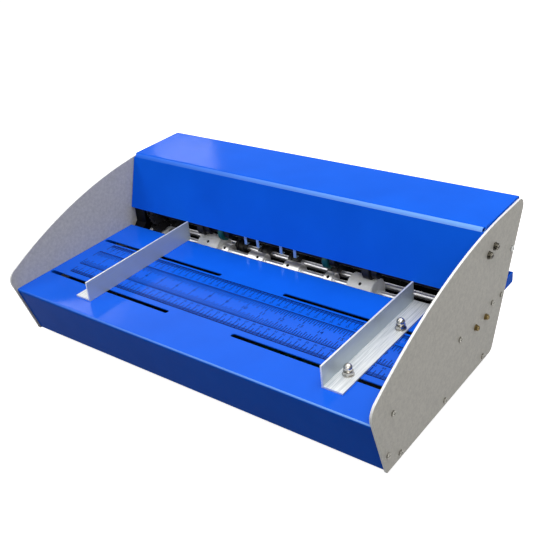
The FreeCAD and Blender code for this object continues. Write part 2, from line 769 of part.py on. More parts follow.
parts["green_rings"] = Part.Compound(
    [clamped_ring(x, green_ring_length, front_shaft_y, upper_front_z, green_ring_radius,
                  upper_shaft_radius, None, 1.6) for x in narrow_collar_x])


def upper_collar(x, length):
    """A collar on the upper front shaft, right of the wheel of that length at x."""
    middle = x + (length + upper_collar_length) / 2.0 + upper_collar_gap
    return clamped_ring(middle, upper_collar_length, front_shaft_y, upper_front_z,
                        upper_collar_radius, upper_shaft_radius)


parts["upper_collars"] = Part.Compound(
    [upper_collar(x, green_ring_length) for x in narrow_collar_x]
    + [upper_collar(x, press_wheel_length) for x in press_wheel_x])


def crease_blade(x):
    disc = ring_x(x - blade_width / 2, x + blade_width / 2, rear_shaft_y, upper_rear_z,
                  blade_radius, upper_shaft_radius + roller_fit)
    rims = [e for e in disc.Edges if abs(e.BoundBox.ZMax - upper_rear_z - blade_radius) < 1e-3
            and abs(e.BoundBox.XMax - e.BoundBox.XMin) < 1e-6]
    return disc.makeChamfer(blade_width * 0.36, rims)


parts["crease_blades"] = Part.Compound([crease_blade(x) for x in tool_x])
parts["blade_hubs"] = Part.Compound(
    [clamped_ring(x + (blade_width + blade_hub_length) / 2.0, blade_hub_length, rear_shaft_y,
                  upper_rear_z, blade_hub_radius, upper_shaft_radius) for x in tool_x])


# ---- gears, pulleys and belt at the left end ----
def plane(index):
    """Start and end along X of a gear plane, counted from the left bearing block."""
    start = -block_face + gear_start + index * gear_pitch
    return start, start + gear_width


def pair_of_gears(index, y, low_z, high_z, low_bore, high_bore):
    x0, x1 = plane(index)
    module = (high_z - low_z) / shaft_gear_teeth
    lower = gear(x0, x1, y, low_z, shaft_gear_teeth, module, low_bore + roller_fit, 90.0)
    angle = meshing_angle(90.0, shaft_gear_teeth, shaft_gear_teeth, 90.0)
    upper = gear(x0, x1, y, high_z, shaft_gear_teeth, module, high_bore + roller_fit, angle)
    return lower, upper


lower_front_gear, upper_front_gear = pair_of_gears(
    1, front_shaft_y, lower_front_z, upper_front_z, lower_shaft_radius, upper_shaft_radius)
lower_rear_gear, upper_rear_gear = pair_of_gears(
    2, rear_shaft_y, lower_rear_z, upper_rear_z, lower_shaft_radius, upper_shaft_radius)
small_x0, small_x1 = plane(0)
to_idler = math.degrees(math.atan2(idler_z - lower_front_z, idler_y - front_shaft_y))
idler_angle = meshing_angle(to_idler, small_gear_teeth, idler_teeth, to_idler)
from_idler = math.degrees(math.atan2(lower_rear_z - idler_z, rear_shaft_y - idler_y))
rear_angle = meshing_angle(idler_angle, idler_teeth, small_gear_teeth, from_idler)
front_small = gear(small_x0, small_x1, front_shaft_y, lower_front_z, small_gear_teeth,
                   small_module, lower_shaft_radius + roller_fit, to_idler)
rear_small = gear(small_x0, small_x1, rear_shaft_y, lower_rear_z, small_gear_teeth,
                  small_module, lower_shaft_radius + roller_fit, rear_angle)
parts["front_shaft_gears"] = Part.Compound([lower_front_gear, front_small])
parts["rear_shaft_gears"] = Part.Compound([lower_rear_gear, rear_small])
parts["upper_front_gear"] = upper_front_gear
parts["upper_rear_gear"] = upper_rear_gear
parts["idler_gear"] = gear(small_x0, small_x1, idler_y, idler_z, idler_teeth, small_module,
                           idler_pin_radius + fit, idler_angle)


def idler_pin():
    pin = rod_x(-block_face - 9.0, small_x1 + 1.4, idler_y, idler_z, idler_pin_radius)
    clip = ring_x(small_x1 + 0.3, small_x1 + 1.1, idler_y, idler_z, idler_pin_radius + 2.0,
                  idler_pin_radius - 0.3)
    spacer = ring_x(-block_face, small_x0 - 0.3, idler_y, idler_z, idler_pin_radius + 1.5,
                    idler_pin_radius - 0.3)
    return pin.fuse(clip).fuse(spacer).removeSplitter()


parts["idler_pin"] = idler_pin()
pulley_x0 = plane(2)[1] + 2.5
pulley_x1 = pulley_x0 + pulley_width


def pulley(y, z, radius, bore):
    wheel = rod_x(pulley_x0 + 1.2, pulley_x1 - 1.2, y, z, radius)
    for x in (pulley_x0, pulley_x1 - 1.2):
        wheel = wheel.fuse(rod_x(x, x + 1.2, y, z, radius + belt_thickness + 1.2))
    return wheel.cut(rod_x(pulley_x0 - 1, pulley_x1 + 1, y, z, bore))


parts["front_pulley"] = pulley(front_shaft_y, lower_front_z, front_pulley_radius,
                               lower_shaft_radius + roller_fit)
motor_face = pulley_x1 + 9.0
motor_shaft = rod_x(pulley_x0 - 2.0, motor_face + 6.0, motor_y, motor_z, motor_shaft_radius)
parts["motor_pulley"] = pulley(motor_y, motor_z, motor_pulley_radius,
                               motor_shaft_radius - 0.2).fuse(motor_shaft)


def belt_loop(extra):
    """The solid filling an open belt's outline, at a distance outside the pulleys."""
    big, small = front_pulley_radius + extra, motor_pulley_radius + extra
    dy, dz = motor_y - front_shaft_y, motor_z - lower_front_z
    length = math.hypot(dy, dz)
    base = math.atan2(dz, dy)
    spread = math.acos((big - small) / length)
    points = []
    for cy, cz, radius, sign in ((front_shaft_y, lower_front_z, big, 1),
                                 (motor_y, motor_z, small, 1),
                                 (motor_y, motor_z, small, -1),
                                 (front_shaft_y, lower_front_z, big, -1)):
        angle = base + sign * spread
        points.append((cy + radius * math.cos(angle), cz + radius * math.sin(angle)))
    x0, x1 = pulley_x0 + 1.6, pulley_x1 - 1.6
    loop = profile_x(points, x0, x1)
    loop = loop.fuse(rod_x(x0, x1, front_shaft_y, lower_front_z, big))
    return loop.fuse(rod_x(x0, x1, motor_y, motor_z, small))


parts["drive_belt"] = belt_loop(belt_play + belt_thickness).cut(
    belt_loop(belt_play)).removeSplitter()

# ---- motor, bracket and electronics on the base pan ----
bracket_x = motor_face


def motor_bracket():
    y0, y1 = motor_y - bracket_width / 2, motor_y + bracket_width / 2
    upright = box(bracket_x, bracket_x + bracket_thickness, y0, y1, pan_top,
                  motor_z + motor_radius + 1.0)
    foot = box(bracket_x, bracket_x + bracket_foot, y0, y1, pan_top,
               pan_top + bracket_thickness)
    bracket = upright.fuse(foot)
    return bracket.cut(rod_x(bracket_x - 1, bracket_x + 5, motor_y, motor_z, 9.0))


def motor():
    start = bracket_x + bracket_thickness
    gearbox = rod_x(start, start + gearbox_length, motor_y, motor_z, motor_radius)
    body = rod_x(start + gearbox_length, start + motor_length, motor_y, motor_z,
                 motor_radius - 3.0)
    back = rod_x(start + motor_length, start + motor_length + 3.0, motor_y, motor_z, 8.0)
    shape = gearbox.fuse(body).fuse(back)
    return shape.cut(rod_x(start - 1, motor_face + 6.5, motor_y, motor_z,
                           motor_shaft_radius + fit))


parts["motor_bracket"] = motor_bracket()
parts["gear_motor"] = motor()


def motor_screws():
    screws = []
    for angle in (45, 135, 225, 315):
        y = motor_y + motor_screw_circle * math.cos(math.radians(angle))
        z = motor_z + motor_screw_circle * math.sin(math.radians(angle))
        screws.append(screw_x(bracket_x, y, z, -1, 3.0, 1.8, screw_radius, 0.0, False))
    return Part.Compound(screws)


parts["motor_screws"] = motor_screws()

board_z = pan_top + standoff_height
board_top = board_z + board_thickness
board_holes = [(x, y) for x in (board_x0 + board_hole_in, board_x0 + board_length - board_hole_in)
               for y in (board_y0 + board_hole_in, board_y0 + board_width - board_hole_in)]


def control_board():
    board = box(board_x0, board_x0 + board_length, board_y0, board_y0 + board_width, board_z,
                board_top)
    for x, y, length, width, height in board_blocks:
        board = board.fuse(box(board_x0 + x, board_x0 + x + length, board_y0 + y,
                               board_y0 + y + width, board_top, board_top + height))
    for x, y, radius, height in board_cans:
        board = board.fuse(rod_z(board_x0 + x, board_y0 + y, board_top, board_top + height,
                                 radius))
    for x, y in board_holes:
        board = board.cut(rod_z(x, y, board_z - 1, board_top + 1,
                                screw_radius + flange_hole_play))
    return board


def board_standoffs():
    pillars = []
    for x, y in board_holes:
        pillar = hex_z(x, y, pan_top, board_z, standoff_flats)
        pillar = pillar.fuse(rod_z(x, y, board_z, board_top, screw_radius))
        pillars.append(pillar.fuse(rod_z(x, y, board_top, board_top + 1.6, 2.8)))
    return Part.Compound(pillars)


parts["control_board"] = control_board()
parts["board_standoffs"] = board_standoffs()


# ---- controls and inlet in the left plate ----
def panel_box(x0, x1, y, width, height):
    """A block at the height of the controls, width along Y."""
    return box(x0, x1, y - width / 2, y + width / 2, control_z - height / 2,
               control_z + height / 2)


def power_inlet():
    out = -plate_out
    rim = panel_box(out - rim_thickness, out, inlet_y, inlet_rim_width, inlet_rim_height)
    body = panel_box(out, out + inlet_body_depth, inlet_y, inlet_width - 2 * moulding_play,
                     inlet_height - 2 * moulding_play)
    well = panel_box(out - rim_thickness - 1, out + inlet_well_depth, inlet_y,
                     inlet_well_width, inlet_well_height)
    inlet = rim.fuse(body).cut(well)
    for dy, dz in ((-7.0, -2.0), (0.0, 2.0), (7.0, -2.0)):
        inlet = inlet.fuse(box(out + 1.0, out + inlet_well_depth + 0.5, inlet_y + dy - 1.0,
                               inlet_y + dy + 1.0, control_z + dz - 2.0, control_z + dz + 2.0))
    for y in (inlet_y - inlet_screw_out, inlet_y + inlet_screw_out):
        inlet = inlet.cut(rod_x(out - 3, out + 1, y, control_z, screw_radius + fit))
    return inlet


rocker_pivot_x = -plate_out + rocker_pivot_depth


def switch_housing():
    out = -plate_out
    rim = panel_box(out - rim_thickness, out, rocker_y, switch_rim_width, switch_rim_height)
    body = panel_box(out, out + switch_body_depth, rocker_y, rocker_width - 2 * moulding_play,
                     rocker_height - 2 * moulding_play)
    well = panel_box(out - rim_thickness - 1, out + switch_well_depth, rocker_y,
                     switch_well_width, switch_well_height)
    housing = rim.fuse(body).cut(well)
    pin_reach = 1.1
    for z in (control_z - switch_well_height / 2 - 0.2,
              control_z + switch_well_height / 2 + 0.2 - pin_reach - 0.2):
        housing = housing.fuse(Part.makeCylinder(rocker_pin_radius, pin_reach + 0.2,
                                                 vec(rocker_pivot_x, rocker_y, z)))
    return housing


def power_rocker():
    low = control_z - rocker_length / 2
    body = Part.makeCylinder(rocker_radius, rocker_length, vec(rocker_pivot_x, rocker_y, low))
    crest = box(rocker_pivot_x - 20, rocker_pivot_x + 3.5, rocker_y - 20, rocker_y + 20,
                low - 1, low + rocker_length + 1)
    dish_radius, dish_out = 30.0, 38.4
    dish = Part.makeCylinder(dish_radius, rocker_length + 2,
                             vec(rocker_pivot_x - dish_out, rocker_y, low - 1))
    hole = Part.makeCylinder(rocker_pin_radius + hinge_clearance, rocker_length + 2,
                             vec(rocker_pivot_x, rocker_y, low - 1))
    body = body.common(crest).cut(dish).cut(hole)
    body.rotate(vec(rocker_pivot_x, rocker_y, control_z), vec(0, 0, 1), -rocker_tilt)
    return body


parts["power_inlet"] = power_inlet()
parts["switch_housing"] = switch_housing()
parts["power_rocker"] = power_rocker()


def speed_pot():
    inside = -half
    can = rod_x(inside, inside + 9.0, knob_y, control_z, 8.0)
    bush = rod_x(-plate_out - 2.0, inside, knob_y, control_z, pot_radius)
    nut_face = [vec(-plate_out, knob_y + pot_nut_corner * math.cos(math.radians(60 * i)),
                    control_z + pot_nut_corner * math.sin(math.radians(60 * i)))
                for i in range(7)]
    nut = Part.Face(Part.makePolygon(nut_face)).extrude(vec(-2.0, 0, 0))
    spindle = rod_x(-plate_out - knob_height + 3.0, -plate_out - 2.0, knob_y, control_z,
                    spindle_radius)
    return can.fuse(bush).fuse(nut).fuse(spindle).removeSplitter()


def speed_knob():
    base = -plate_out - knob_travel_gap
    body = rod_x(base - knob_height, base, knob_y, control_z, knob_radius)
    rims = [e for e in body.Edges if abs(e.BoundBox.XMax - e.BoundBox.XMin) < 1e-6
            and e.BoundBox.XMin < base - 1.0]
    body = body.makeChamfer(1.5, rims)
    for i in range(knob_ribs):
        angle = math.radians(360.0 * i / knob_ribs)
        body = body.cut(rod_x(base - knob_height - 1, base - 3.0,
                              knob_y + (knob_radius + 0.7) * math.cos(angle),
                              control_z + (knob_radius + 0.7) * math.sin(angle), 1.2))
    body = body.cut(rod_x(base - 2.6, base + 1, knob_y, control_z, pot_nut_corner + 1.4))
    body = body.cut(rod_x(-plate_out - knob_height + 2.9, base, knob_y, control_z,
                          spindle_radius + fit))
    return body.cut(box(base - knob_height - 1, base - knob_height + 0.8, knob_y - 0.7,
                        knob_y + 0.7, control_z + 4.0, control_z + knob_radius + 1))


parts["speed_pot"] = speed_pot()
parts["speed_knob"] = speed_knob()

# ---- cover interlock switch on the right plate ----
switch_middle_y = (switch_screws[0][0] + switch_screws[1][0]) / 2.0
switch_z = (switch_screws[0][1] + switch_screws[1][1]) / 2.0
switch_in = half - 3.4
plunger_x = cover_half - sheet / 2.0


def interlock_switch():
    pad = box(switch_in, half, switch_middle_y - 9.5, switch_middle_y + 9.5, switch_z - 6.5,
              switch_z + 6.0)
    body = box(switch_in - 10.0, switch_in, switch_middle_y - 13.0, switch_middle_y + 13.0,
               switch_z - 8.0, switch_z + 7.5)
    ear = box(switch_in, half, switch_middle_y - 3.0, switch_middle_y + 3.0,
              switch_z + 2.0, switch_z + 7.5)
    switch = pad.fuse(body).fuse(ear)
    switch = switch.cut(rod_z(plunger_x - 1.4, switch_middle_y, switch_z + 4.5, switch_z + 9,
                              1.2 + fit))
    for y, z in switch_screws:
        switch = switch.cut(rod_x(switch_in - 11, half + 1, y, z, screw_radius + fit))
    return switch.removeSplitter()


def interlock_plunger():
    top = cover_top_z - cover_top_strip - 0.3
    stem = rod_z(plunger_x - 1.4, switch_middle_y, switch_z + 6.0, top - 1.5, 1.2)
    return stem.fuse(rod_z(plunger_x - 1.0, switch_middle_y, top - 1.5, top, 2.0))


parts["interlock_switch"] = interlock_switch()
parts["interlock_plunger"] = interlock_plunger()


# ---- screws and bolts of the side plates ----
def plate_screws(side):
    screws = []
    for y, z in panel_screws + [tray_screw, block_screw]:
        screws.append(screw_x(side * plate_out, y, z, side, screw_head_radius,
                              screw_head_height, screw_radius, plate_thickness + screw_depth))
    if side > 0:
        head_x = plate_out + switch_washer_height
        for y, z in switch_screws:
            washer = ring_x(plate_out, head_x, y, z, switch_washer_radius, screw_radius)
            screw = screw_x(head_x, y, z, side, switch_head_radius, switch_head_height,
                            screw_radius, plate_thickness + 12.0)
            screws.append(washer.fuse(screw))
    else:
        for y in (inlet_y - inlet_screw_out, inlet_y + inlet_screw_out):
            screws.append(screw_x(-plate_out - rim_thickness, y, control_z, side, 2.7, 1.4,
                                  screw_radius, rim_thickness - 0.1))
    return Part.Compound(screws)


def bearing_bolt(side, y, z):
    head_x = plate_out + bolt_washer_height
    bolt = screw_x(head_x, y, z, 1, bolt_head_radius, bolt_head_height, bolt_radius,
                   plate_thickness + bolt_depth)
    washer = ring_x(plate_out, head_x, y, z, bolt_washer_radius, bolt_radius)
    return mirrored(bolt.fuse(washer), side)


parts["plate_screws_right"] = plate_screws(1)
parts["plate_screws_left"] = plate_screws(-1)
parts["bearing_bolts"] = Part.Compound([bearing_bolt(side, y, z) for side in (-1, 1)
                                        for y, z in bearing_bolts])

# ---- finger bar and paper fingers in front of the upper shafts ----
finger_y = block_head_y + 0.2
bar_top = block_top_z - 1.0


def finger_bar():
    front = finger_y + finger_thickness
    return box(-block_face, block_face, front, front + bar_depth, bar_top - bar_height, bar_top)


def paper_finger(x):
    x0, x1 = x - finger_width / 2, x + finger_width / 2
    low = paper_z + finger_lift
    strip = box(x0, x1, finger_y, finger_y + finger_thickness, low, bar_top)
    hook = box(x0, x1, finger_y, finger_y + finger_hook, low, low + finger_thickness)
    return strip.fuse(hook).removeSplitter()


parts["finger_bar"] = finger_bar()
parts["paper_fingers"] = Part.Compound([paper_finger(x) for x in finger_x])


# ---- side guides and their clamps ----
def guide_angle(face_x, away, screw_in):
    """An aluminium angle: working leg at face_x, foot running away from the paper."""
    low = table_z + guide_lift
    end = face_x + away * guide_leg
    foot = box(min(face_x, end), max(face_x, end), guide_front_y, guide_rear_y, low,
               low + guide_thickness)
    back = face_x + away * guide_thickness
    leg = box(min(face_x, back), max(face_x, back), guide_front_y, guide_rear_y, low,
              low + guide_height)
    angle = foot.fuse(leg).removeSplitter()
    for distance, y in zip(screw_in, (slot_front_y, slot_rear_y)):
        angle = angle.cut(rod_z(face_x + away * distance, y, low - 1, low + guide_thickness + 1,
                                guide_screw_radius + guide_screw_play))
    return angle


def guide_clamp(x, y):
    """A pan-head screw from below, with washers and a domed nut above the guide."""
    top = table_z + guide_lift + guide_thickness
    under = table_z - sheet - guide_lift
    nut_low, nut_high = top + 1.0, top + 4.5
    waist = nut_high + 1.0
    clamp = rod_z(x, y, under - 1.0, nut_high + 0.5, guide_screw_radius)
    dome = Part.makeSphere(clamp_dome_radius, vec(x, y, waist + clamp_dome_radius * 0.6))
    dome = dome.cut(box(x - 9, x + 9, y - 9, y + 9, top - 4, waist))
    for piece in (rod_z(x, y, under - 4.0, under - 1.0, clamp_head_radius),
                  rod_z(x, y, under - 1.0, under, clamp_head_radius + 0.9),
                  rod_z(x, y, top, nut_low, clamp_washer_radius),
                  hex_z(x, y, nut_low, nut_high, clamp_nut_flats),
                  rod_z(x, y, nut_high, waist, clamp_dome_radius * 0.72), dome):
        clamp = clamp.fuse(piece)
    return clamp.removeSplitter()


def guide_clamps(face_x, away, screw_in):
    return Part.Compound([guide_clamp(face_x + away * distance, y)
                          for distance, y in zip(screw_in, (slot_front_y, slot_rear_y))])


parts["left_guide"] = guide_angle(left_guide_x, -1, left_screw_in)
parts["left_guide_clamps"] = guide_clamps(left_guide_x, -1, left_screw_in)
parts["right_guide"] = guide_angle(right_guide_x, 1, right_screw_in)
parts["right_guide_clamps"] = guide_clamps(right_guide_x, 1, right_screw_in)


# ---- feet ----
def rubber_foot(x, y):
    top = pan_lift + sheet
    foot = Part.makeCone(foot_radius - 1.5, foot_radius, foot_height + top,
                         vec(x, y, -foot_height), vec(0, 0, 1))
    foot = foot.cut(rod_z(x, y, -foot_height - 1, -foot_height + 4.0, 4.0))
    return foot.cut(rod_z(x, y, -foot_height, top + 1, 2.05))


def foot_screw(x, y):
    top = pan_lift + sheet
    screw = rod_z(x, y, -foot_height + 4.0, top + sheet + 4.0, 2.0)
    head = rod_z(x, y, -foot_height + 2.0, -foot_height + 4.0, 3.6)
    nut = hex_z(x, y, pan_top, pan_top + 3.0, 7.0)
    return screw.fuse(head).fuse(nut).removeSplitter()


foot_places = [(side * (half - foot_inset_x), y) for side in (-1, 1)
               for y in (foot_front_y, foot_rear_y)]
parts["rubber_feet"] = Part.Compound([rubber_foot(x, y) for x, y in foot_places])
parts["foot_screws"] = Part.Compound([foot_screw(x, y) for x, y in foot_places])

# ---- move to the bottom centre of the whole machine and write the files ----
whole = Part.Compound(list(parts.values())).optimalBoundingBox(False, False)
shift = vec(-(whole.XMin + whole.XMax) / 2, -(whole.YMin + whole.YMax) / 2, -whole.ZMin)
os.makedirs("parts", exist_ok=True)
for name, shape in parts.items():
    placed = shape.copy()
    placed.translate(shift)
    placed.exportStep("parts/" + name + ".step")
    solids = len(placed.Solids)
    state = "" if placed.isValid() and solids else "  NOT VALID"
    print(f"{name}: {solids} solids, {placed.Volume / 1000:.2f} cm3{state}")
print(f"{len(parts)} nodes, shift {shift.x:.4f} {shift.y:.4f} {shift.z:.4f}, size "
      f"{whole.XLength:.2f} x {whole.YLength:.2f} x {whole.ZLength:.2f}")
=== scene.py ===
import math

import bmesh
import bpy
from mathutils import Matrix, Vector


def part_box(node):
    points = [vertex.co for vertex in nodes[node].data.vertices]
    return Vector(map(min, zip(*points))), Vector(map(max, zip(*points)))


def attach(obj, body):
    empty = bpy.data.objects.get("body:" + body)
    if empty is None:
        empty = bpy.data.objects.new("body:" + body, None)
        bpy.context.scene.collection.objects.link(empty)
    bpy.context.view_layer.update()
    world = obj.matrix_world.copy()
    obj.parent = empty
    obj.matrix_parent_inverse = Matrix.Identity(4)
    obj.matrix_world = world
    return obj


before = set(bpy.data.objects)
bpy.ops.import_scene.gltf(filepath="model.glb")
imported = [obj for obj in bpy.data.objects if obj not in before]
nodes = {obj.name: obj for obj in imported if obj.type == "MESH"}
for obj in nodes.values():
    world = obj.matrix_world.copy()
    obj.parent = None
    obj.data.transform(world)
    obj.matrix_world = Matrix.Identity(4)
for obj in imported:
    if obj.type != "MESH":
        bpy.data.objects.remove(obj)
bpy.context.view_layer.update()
print("frame loaded:", len(nodes), "nodes")

mm = 0.001

# places taken from the frame
tableLow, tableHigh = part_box("feed_table")
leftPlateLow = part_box("left_side_plate")[0]
knobLow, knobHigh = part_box("speed_knob")
rockerLow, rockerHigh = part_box("power_rocker")
guideLow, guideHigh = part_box("left_guide")
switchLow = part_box("interlock_switch")[0]
tableTop = tableHigh.z
middleX = (tableLow.x + tableHigh.x) / 2


def linear(hexColour):
    # sRGB hex to the linear values that the sockets take
    parts = [int(hexColour[i:i + 2], 16) / 255 for i in (0, 2, 4)]
    return tuple(c / 12.92 if c <= 0.04045 else ((c + 0.055) / 1.055) ** 2.4 for c in parts) + (1.0,)


def addNode(tree, kind, settings=None, links=None):
    # settings are attributes, input sockets by name or number, or a colour ramp's stops
    node = tree.nodes.new(kind)
    for name, value in (settings or {}).items():
        if name == "ramp":
            for stop, (position, colour) in zip(node.color_ramp.elements, value):
                stop.position = position
                stop.color = linear(colour)
        elif isinstance(name, int) or name in node.inputs:
            node.inputs[name].default_value = value
        else:
            setattr(node, name, value)
    for name, source in (links or {}).items():
        tree.links.new(source, node.inputs[name])
    return node


def startMaterial(name, settings):
    # a material with its shader, and the piece's own coordinates in metres
    material = bpy.data.materials.new(name)
    material.use_nodes = True
    tree = material.node_tree
    tree.nodes.clear()
    shader = addNode(tree, "ShaderNodeBsdfPrincipled", settings)
    addNode(tree, "ShaderNodeOutputMaterial", None, {"Surface": shader.outputs[0]})
    coords = addNode(tree, "ShaderNodeTexCoord")
    return material, tree, shader, coords


blueCoat = {
    "flat": "1266EE", "deeper": "1060E4", "cloud": 70 * mm,  # the coat, and the width of its faint clouds
    "fold": "80B4FF", "foldLow": 0.42, "foldHigh": 0.94, "foldSquare": 0.1,  # a painted highlight along the folds, and which slopes count as a fold
    "primer": "0C0C0E", "inside": -0.3,  # faces that look further forward than this are a panel's inside
    # the last number on the next line is how much of the painted fold highlight the left end keeps
    "flatFrom": 0.5, "flatTo": 0.98, "slopeShine": 0.004, "leastFoldHighlight": 0.1,
    "gloss": 0.11, "rubbed": 0.18, "handled": 25 * mm,  # roughness, and the width of the handled patches
    "peel": 1.8 * mm, "peelDepth": 0.05 * mm,
}
blueCoats = {
    # the table, polished by paper: mirrors what stands on it
    "bluePowderCoatPolished": {"flatShine": 0.12},
    # untouched, so deep and even
    "bluePowderCoat": {"flatShine": 0.014},
    # sprayed on the outside only: black within
    "bluePowderCoatPrimedInside": {"flatShine": 0.014, "primedInside": True},
}


def bluePowderCoat(name, flatShine, primedInside=False):
    # gloss polyester powder coat on bent sheet: saturated and level, a faint orange peel,
    # and a painted highlight along the folds, stronger towards the right end; a panel's inside may be left in
    # black primer
    material, tree, shader, coords = startMaterial(name, {"IOR": 1.5, "Specular IOR Level": flatShine})
    cloud = addNode(tree, "ShaderNodeTexNoise", {"Scale": 1 / blueCoat["cloud"], "Detail": 3.0},
                    {"Vector": coords.outputs["Object"]})
    flat = addNode(tree, "ShaderNodeValToRGB", {"ramp": [(0.3, blueCoat["deeper"]), (0.7, blueCoat["flat"])]},
                   {"Fac": cloud.outputs[0]})
    facing = addNode(tree, "ShaderNodeSeparateXYZ", None, {"Vector": coords.outputs["Normal"]})
    # flat tops are rubbed glossier than the sloping faces
    shine = addNode(tree, "ShaderNodeMapRange", {
        "From Min": blueCoat["flatFrom"], "From Max": blueCoat["flatTo"],
        "To Min": blueCoat["slopeShine"], "To Max": flatShine}, {"Value": facing.outputs["Z"]})
    tree.links.new(shine.outputs[0], shader.inputs["Specular IOR Level"])
    # painted highlight mask: faces that slope between the top and the front
    mask = addNode(tree, "ShaderNodeMath", {"operation": "GREATER_THAN", 1: blueCoat["foldLow"]},
                   {0: facing.outputs["Z"]})
    below = addNode(tree, "ShaderNodeMath", {"operation": "LESS_THAN", 1: blueCoat["foldHigh"]},
                    {0: facing.outputs["Z"]})
    # the painted highlight only on folds that run across the machine, not on the coat's rim at the ends
    across = addNode(tree, "ShaderNodeMath", {"operation": "COMPARE", 1: 0.0, 2: blueCoat["foldSquare"]},
                     {0: facing.outputs["X"]})
    # the painted fold highlight grows from the left end to the right end
    place = addNode(tree, "ShaderNodeSeparateXYZ", None, {"Vector": coords.outputs["Object"]})
    foldHighlightRamp = addNode(tree, "ShaderNodeMapRange", {
        "From Min": tableLow.x, "From Max": tableHigh.x, "To Min": blueCoat["leastFoldHighlight"], "To Max": 1.0},
        {"Value": place.outputs["X"]})
    for other in (below, across, foldHighlightRamp):
        mask = addNode(tree, "ShaderNodeMath", {"operation": "MULTIPLY"},
                       {0: mask.outputs[0], 1: other.outputs[0]})
    # mix in the pale fold colour, which is a painted highlight
    coat = addNode(tree, "ShaderNodeMix", {"data_type": "RGBA", 7: linear(blueCoat["fold"])},
                   {0: mask.outputs[0], 6: flat.outputs[0]}).outputs[2]
    if primedInside:
        inside = addNode(tree, "ShaderNodeMath", {"operation": "LESS_THAN", 1: blueCoat["inside"]},
                         {0: facing.outputs["Y"]})
        coat = addNode(tree, "ShaderNodeMix", {"data_type": "RGBA", 7: linear(blueCoat["primer"])},
                       {0: inside.outputs[0], 6: coat}).outputs[2]
    tree.links.new(coat, shader.inputs["Base Color"])
    handled = addNode(tree, "ShaderNodeTexNoise", {
        "Scale": 1 / blueCoat["handled"], "Detail": 5.0, "Roughness": 0.7},
        {"Vector": coords.outputs["Object"]})
    dull = addNode(tree, "ShaderNodeMapRange", {
        "From Min": 0.35, "From Max": 0.75, "To Min": blueCoat["gloss"], "To Max": blueCoat["rubbed"]},
        {"Value": handled.outputs[0]})
    tree.links.new(dull.outputs[0], shader.inputs["Roughness"])
    peel = addNode(tree, "ShaderNodeTexNoise", {"Scale": 1 / blueCoat["peel"], "Detail": 1.0},
                   {"Vector": coords.outputs["Object"]})
    skin = addNode(tree, "ShaderNodeBump", {"Strength": 0.2, "Distance": blueCoat["peelDepth"]},
                   {"Height": peel.outputs[0]})
    tree.links.new(skin.outputs[0], shader.inputs["Normal"])
    return material


greyCoat = {
    "flat": "C0BDB4", "deeper": "AEABA4", "mottle": 4 * mm,
    "rim": "F6F6F4", "rimLow": 0.55, "rimHigh": 0.8,  # a painted highlight on the cut rim, and how far a face looks sideways where it ends
    "grain": 0.9 * mm, "grainDepth": 0.04 * mm,  # coarser than real sand in a coat, so that it shows
    "smooth": 0.42, "sandy": 0.52,  # roughness between and on the grains
}


def greyPowderCoat():
    # satin powder coat on laser-cut plate: a fine sandy grain, and a painted highlight on the cut rim
    material, tree, shader, coords = startMaterial("greyPowderCoat", {"IOR": 1.5, "Specular IOR Level": 0.3})
    mottle = addNode(tree, "ShaderNodeTexNoise", {
        "Scale": 1 / greyCoat["mottle"], "Detail": 4.0, "Roughness": 0.75},
        {"Vector": coords.outputs["Object"]})
    flat = addNode(tree, "ShaderNodeValToRGB", {
        "ramp": [(0.36, greyCoat["deeper"]), (0.64, greyCoat["flat"])]}, {"Fac": mottle.outputs[0]})
    facing = addNode(tree, "ShaderNodeSeparateXYZ", None, {"Vector": coords.outputs["Normal"]})
    sideways = addNode(tree, "ShaderNodeMath", {"operation": "ABSOLUTE"}, {0: facing.outputs["X"]})
    # the pale rim colour is a painted highlight where the edge catches the light
    rim = addNode(tree, "ShaderNodeMapRange", {
        "From Min": greyCoat["rimLow"], "From Max": greyCoat["rimHigh"], "To Min": 1.0, "To Max": 0.0},
        {"Value": sideways.outputs[0]})
    coat = addNode(tree, "ShaderNodeMix", {"data_type": "RGBA", 7: linear(greyCoat["rim"])},
                   {0: rim.outputs[0], 6: flat.outputs[0]})
    tree.links.new(coat.outputs[2], shader.inputs["Base Color"])
    grain = addNode(tree, "ShaderNodeTexNoise", {"Scale": 1 / greyCoat["grain"], "Detail": 2.0},
                    {"Vector": coords.outputs["Object"]})
    dull = addNode(tree, "ShaderNodeMapRange", {
        "From Min": 0.3, "From Max": 0.7, "To Min": greyCoat["smooth"], "To Max": greyCoat["sandy"]},
        {"Value": grain.outputs[0]})
    tree.links.new(dull.outputs[0], shader.inputs["Roughness"])
    skin = addNode(tree, "ShaderNodeBump", {"Strength": 0.3, "Distance": greyCoat["grainDepth"]},
                   {"Height": grain.outputs[0]})
    tree.links.new(skin.outputs[0], shader.inputs["Normal"])
    return material


guideMetal = {
    # the foot's colour is painted as lit; the leg's bluish grey is painted shade and a painted reflection of
    # the blue table
    "foot": "F8FAFA", "leg": "B0BCC4", "linesAndShade": "AEB6BA", "bare": 0.4,
    # brushed lines 50 times longer than wide, and wider than real ones, so that they show
    "grain": 0.7 * mm, "stretch": 0.02, "lineDepth": 0.03 * mm,
    "streak": 0.55, "rearShade": 0.3,  # how strongly the lines darken it, and the painted shade at the rear end
    "patch": 18 * mm, "bright": 0.38, "dull": 0.5,  # roughness, in patches from handling
}


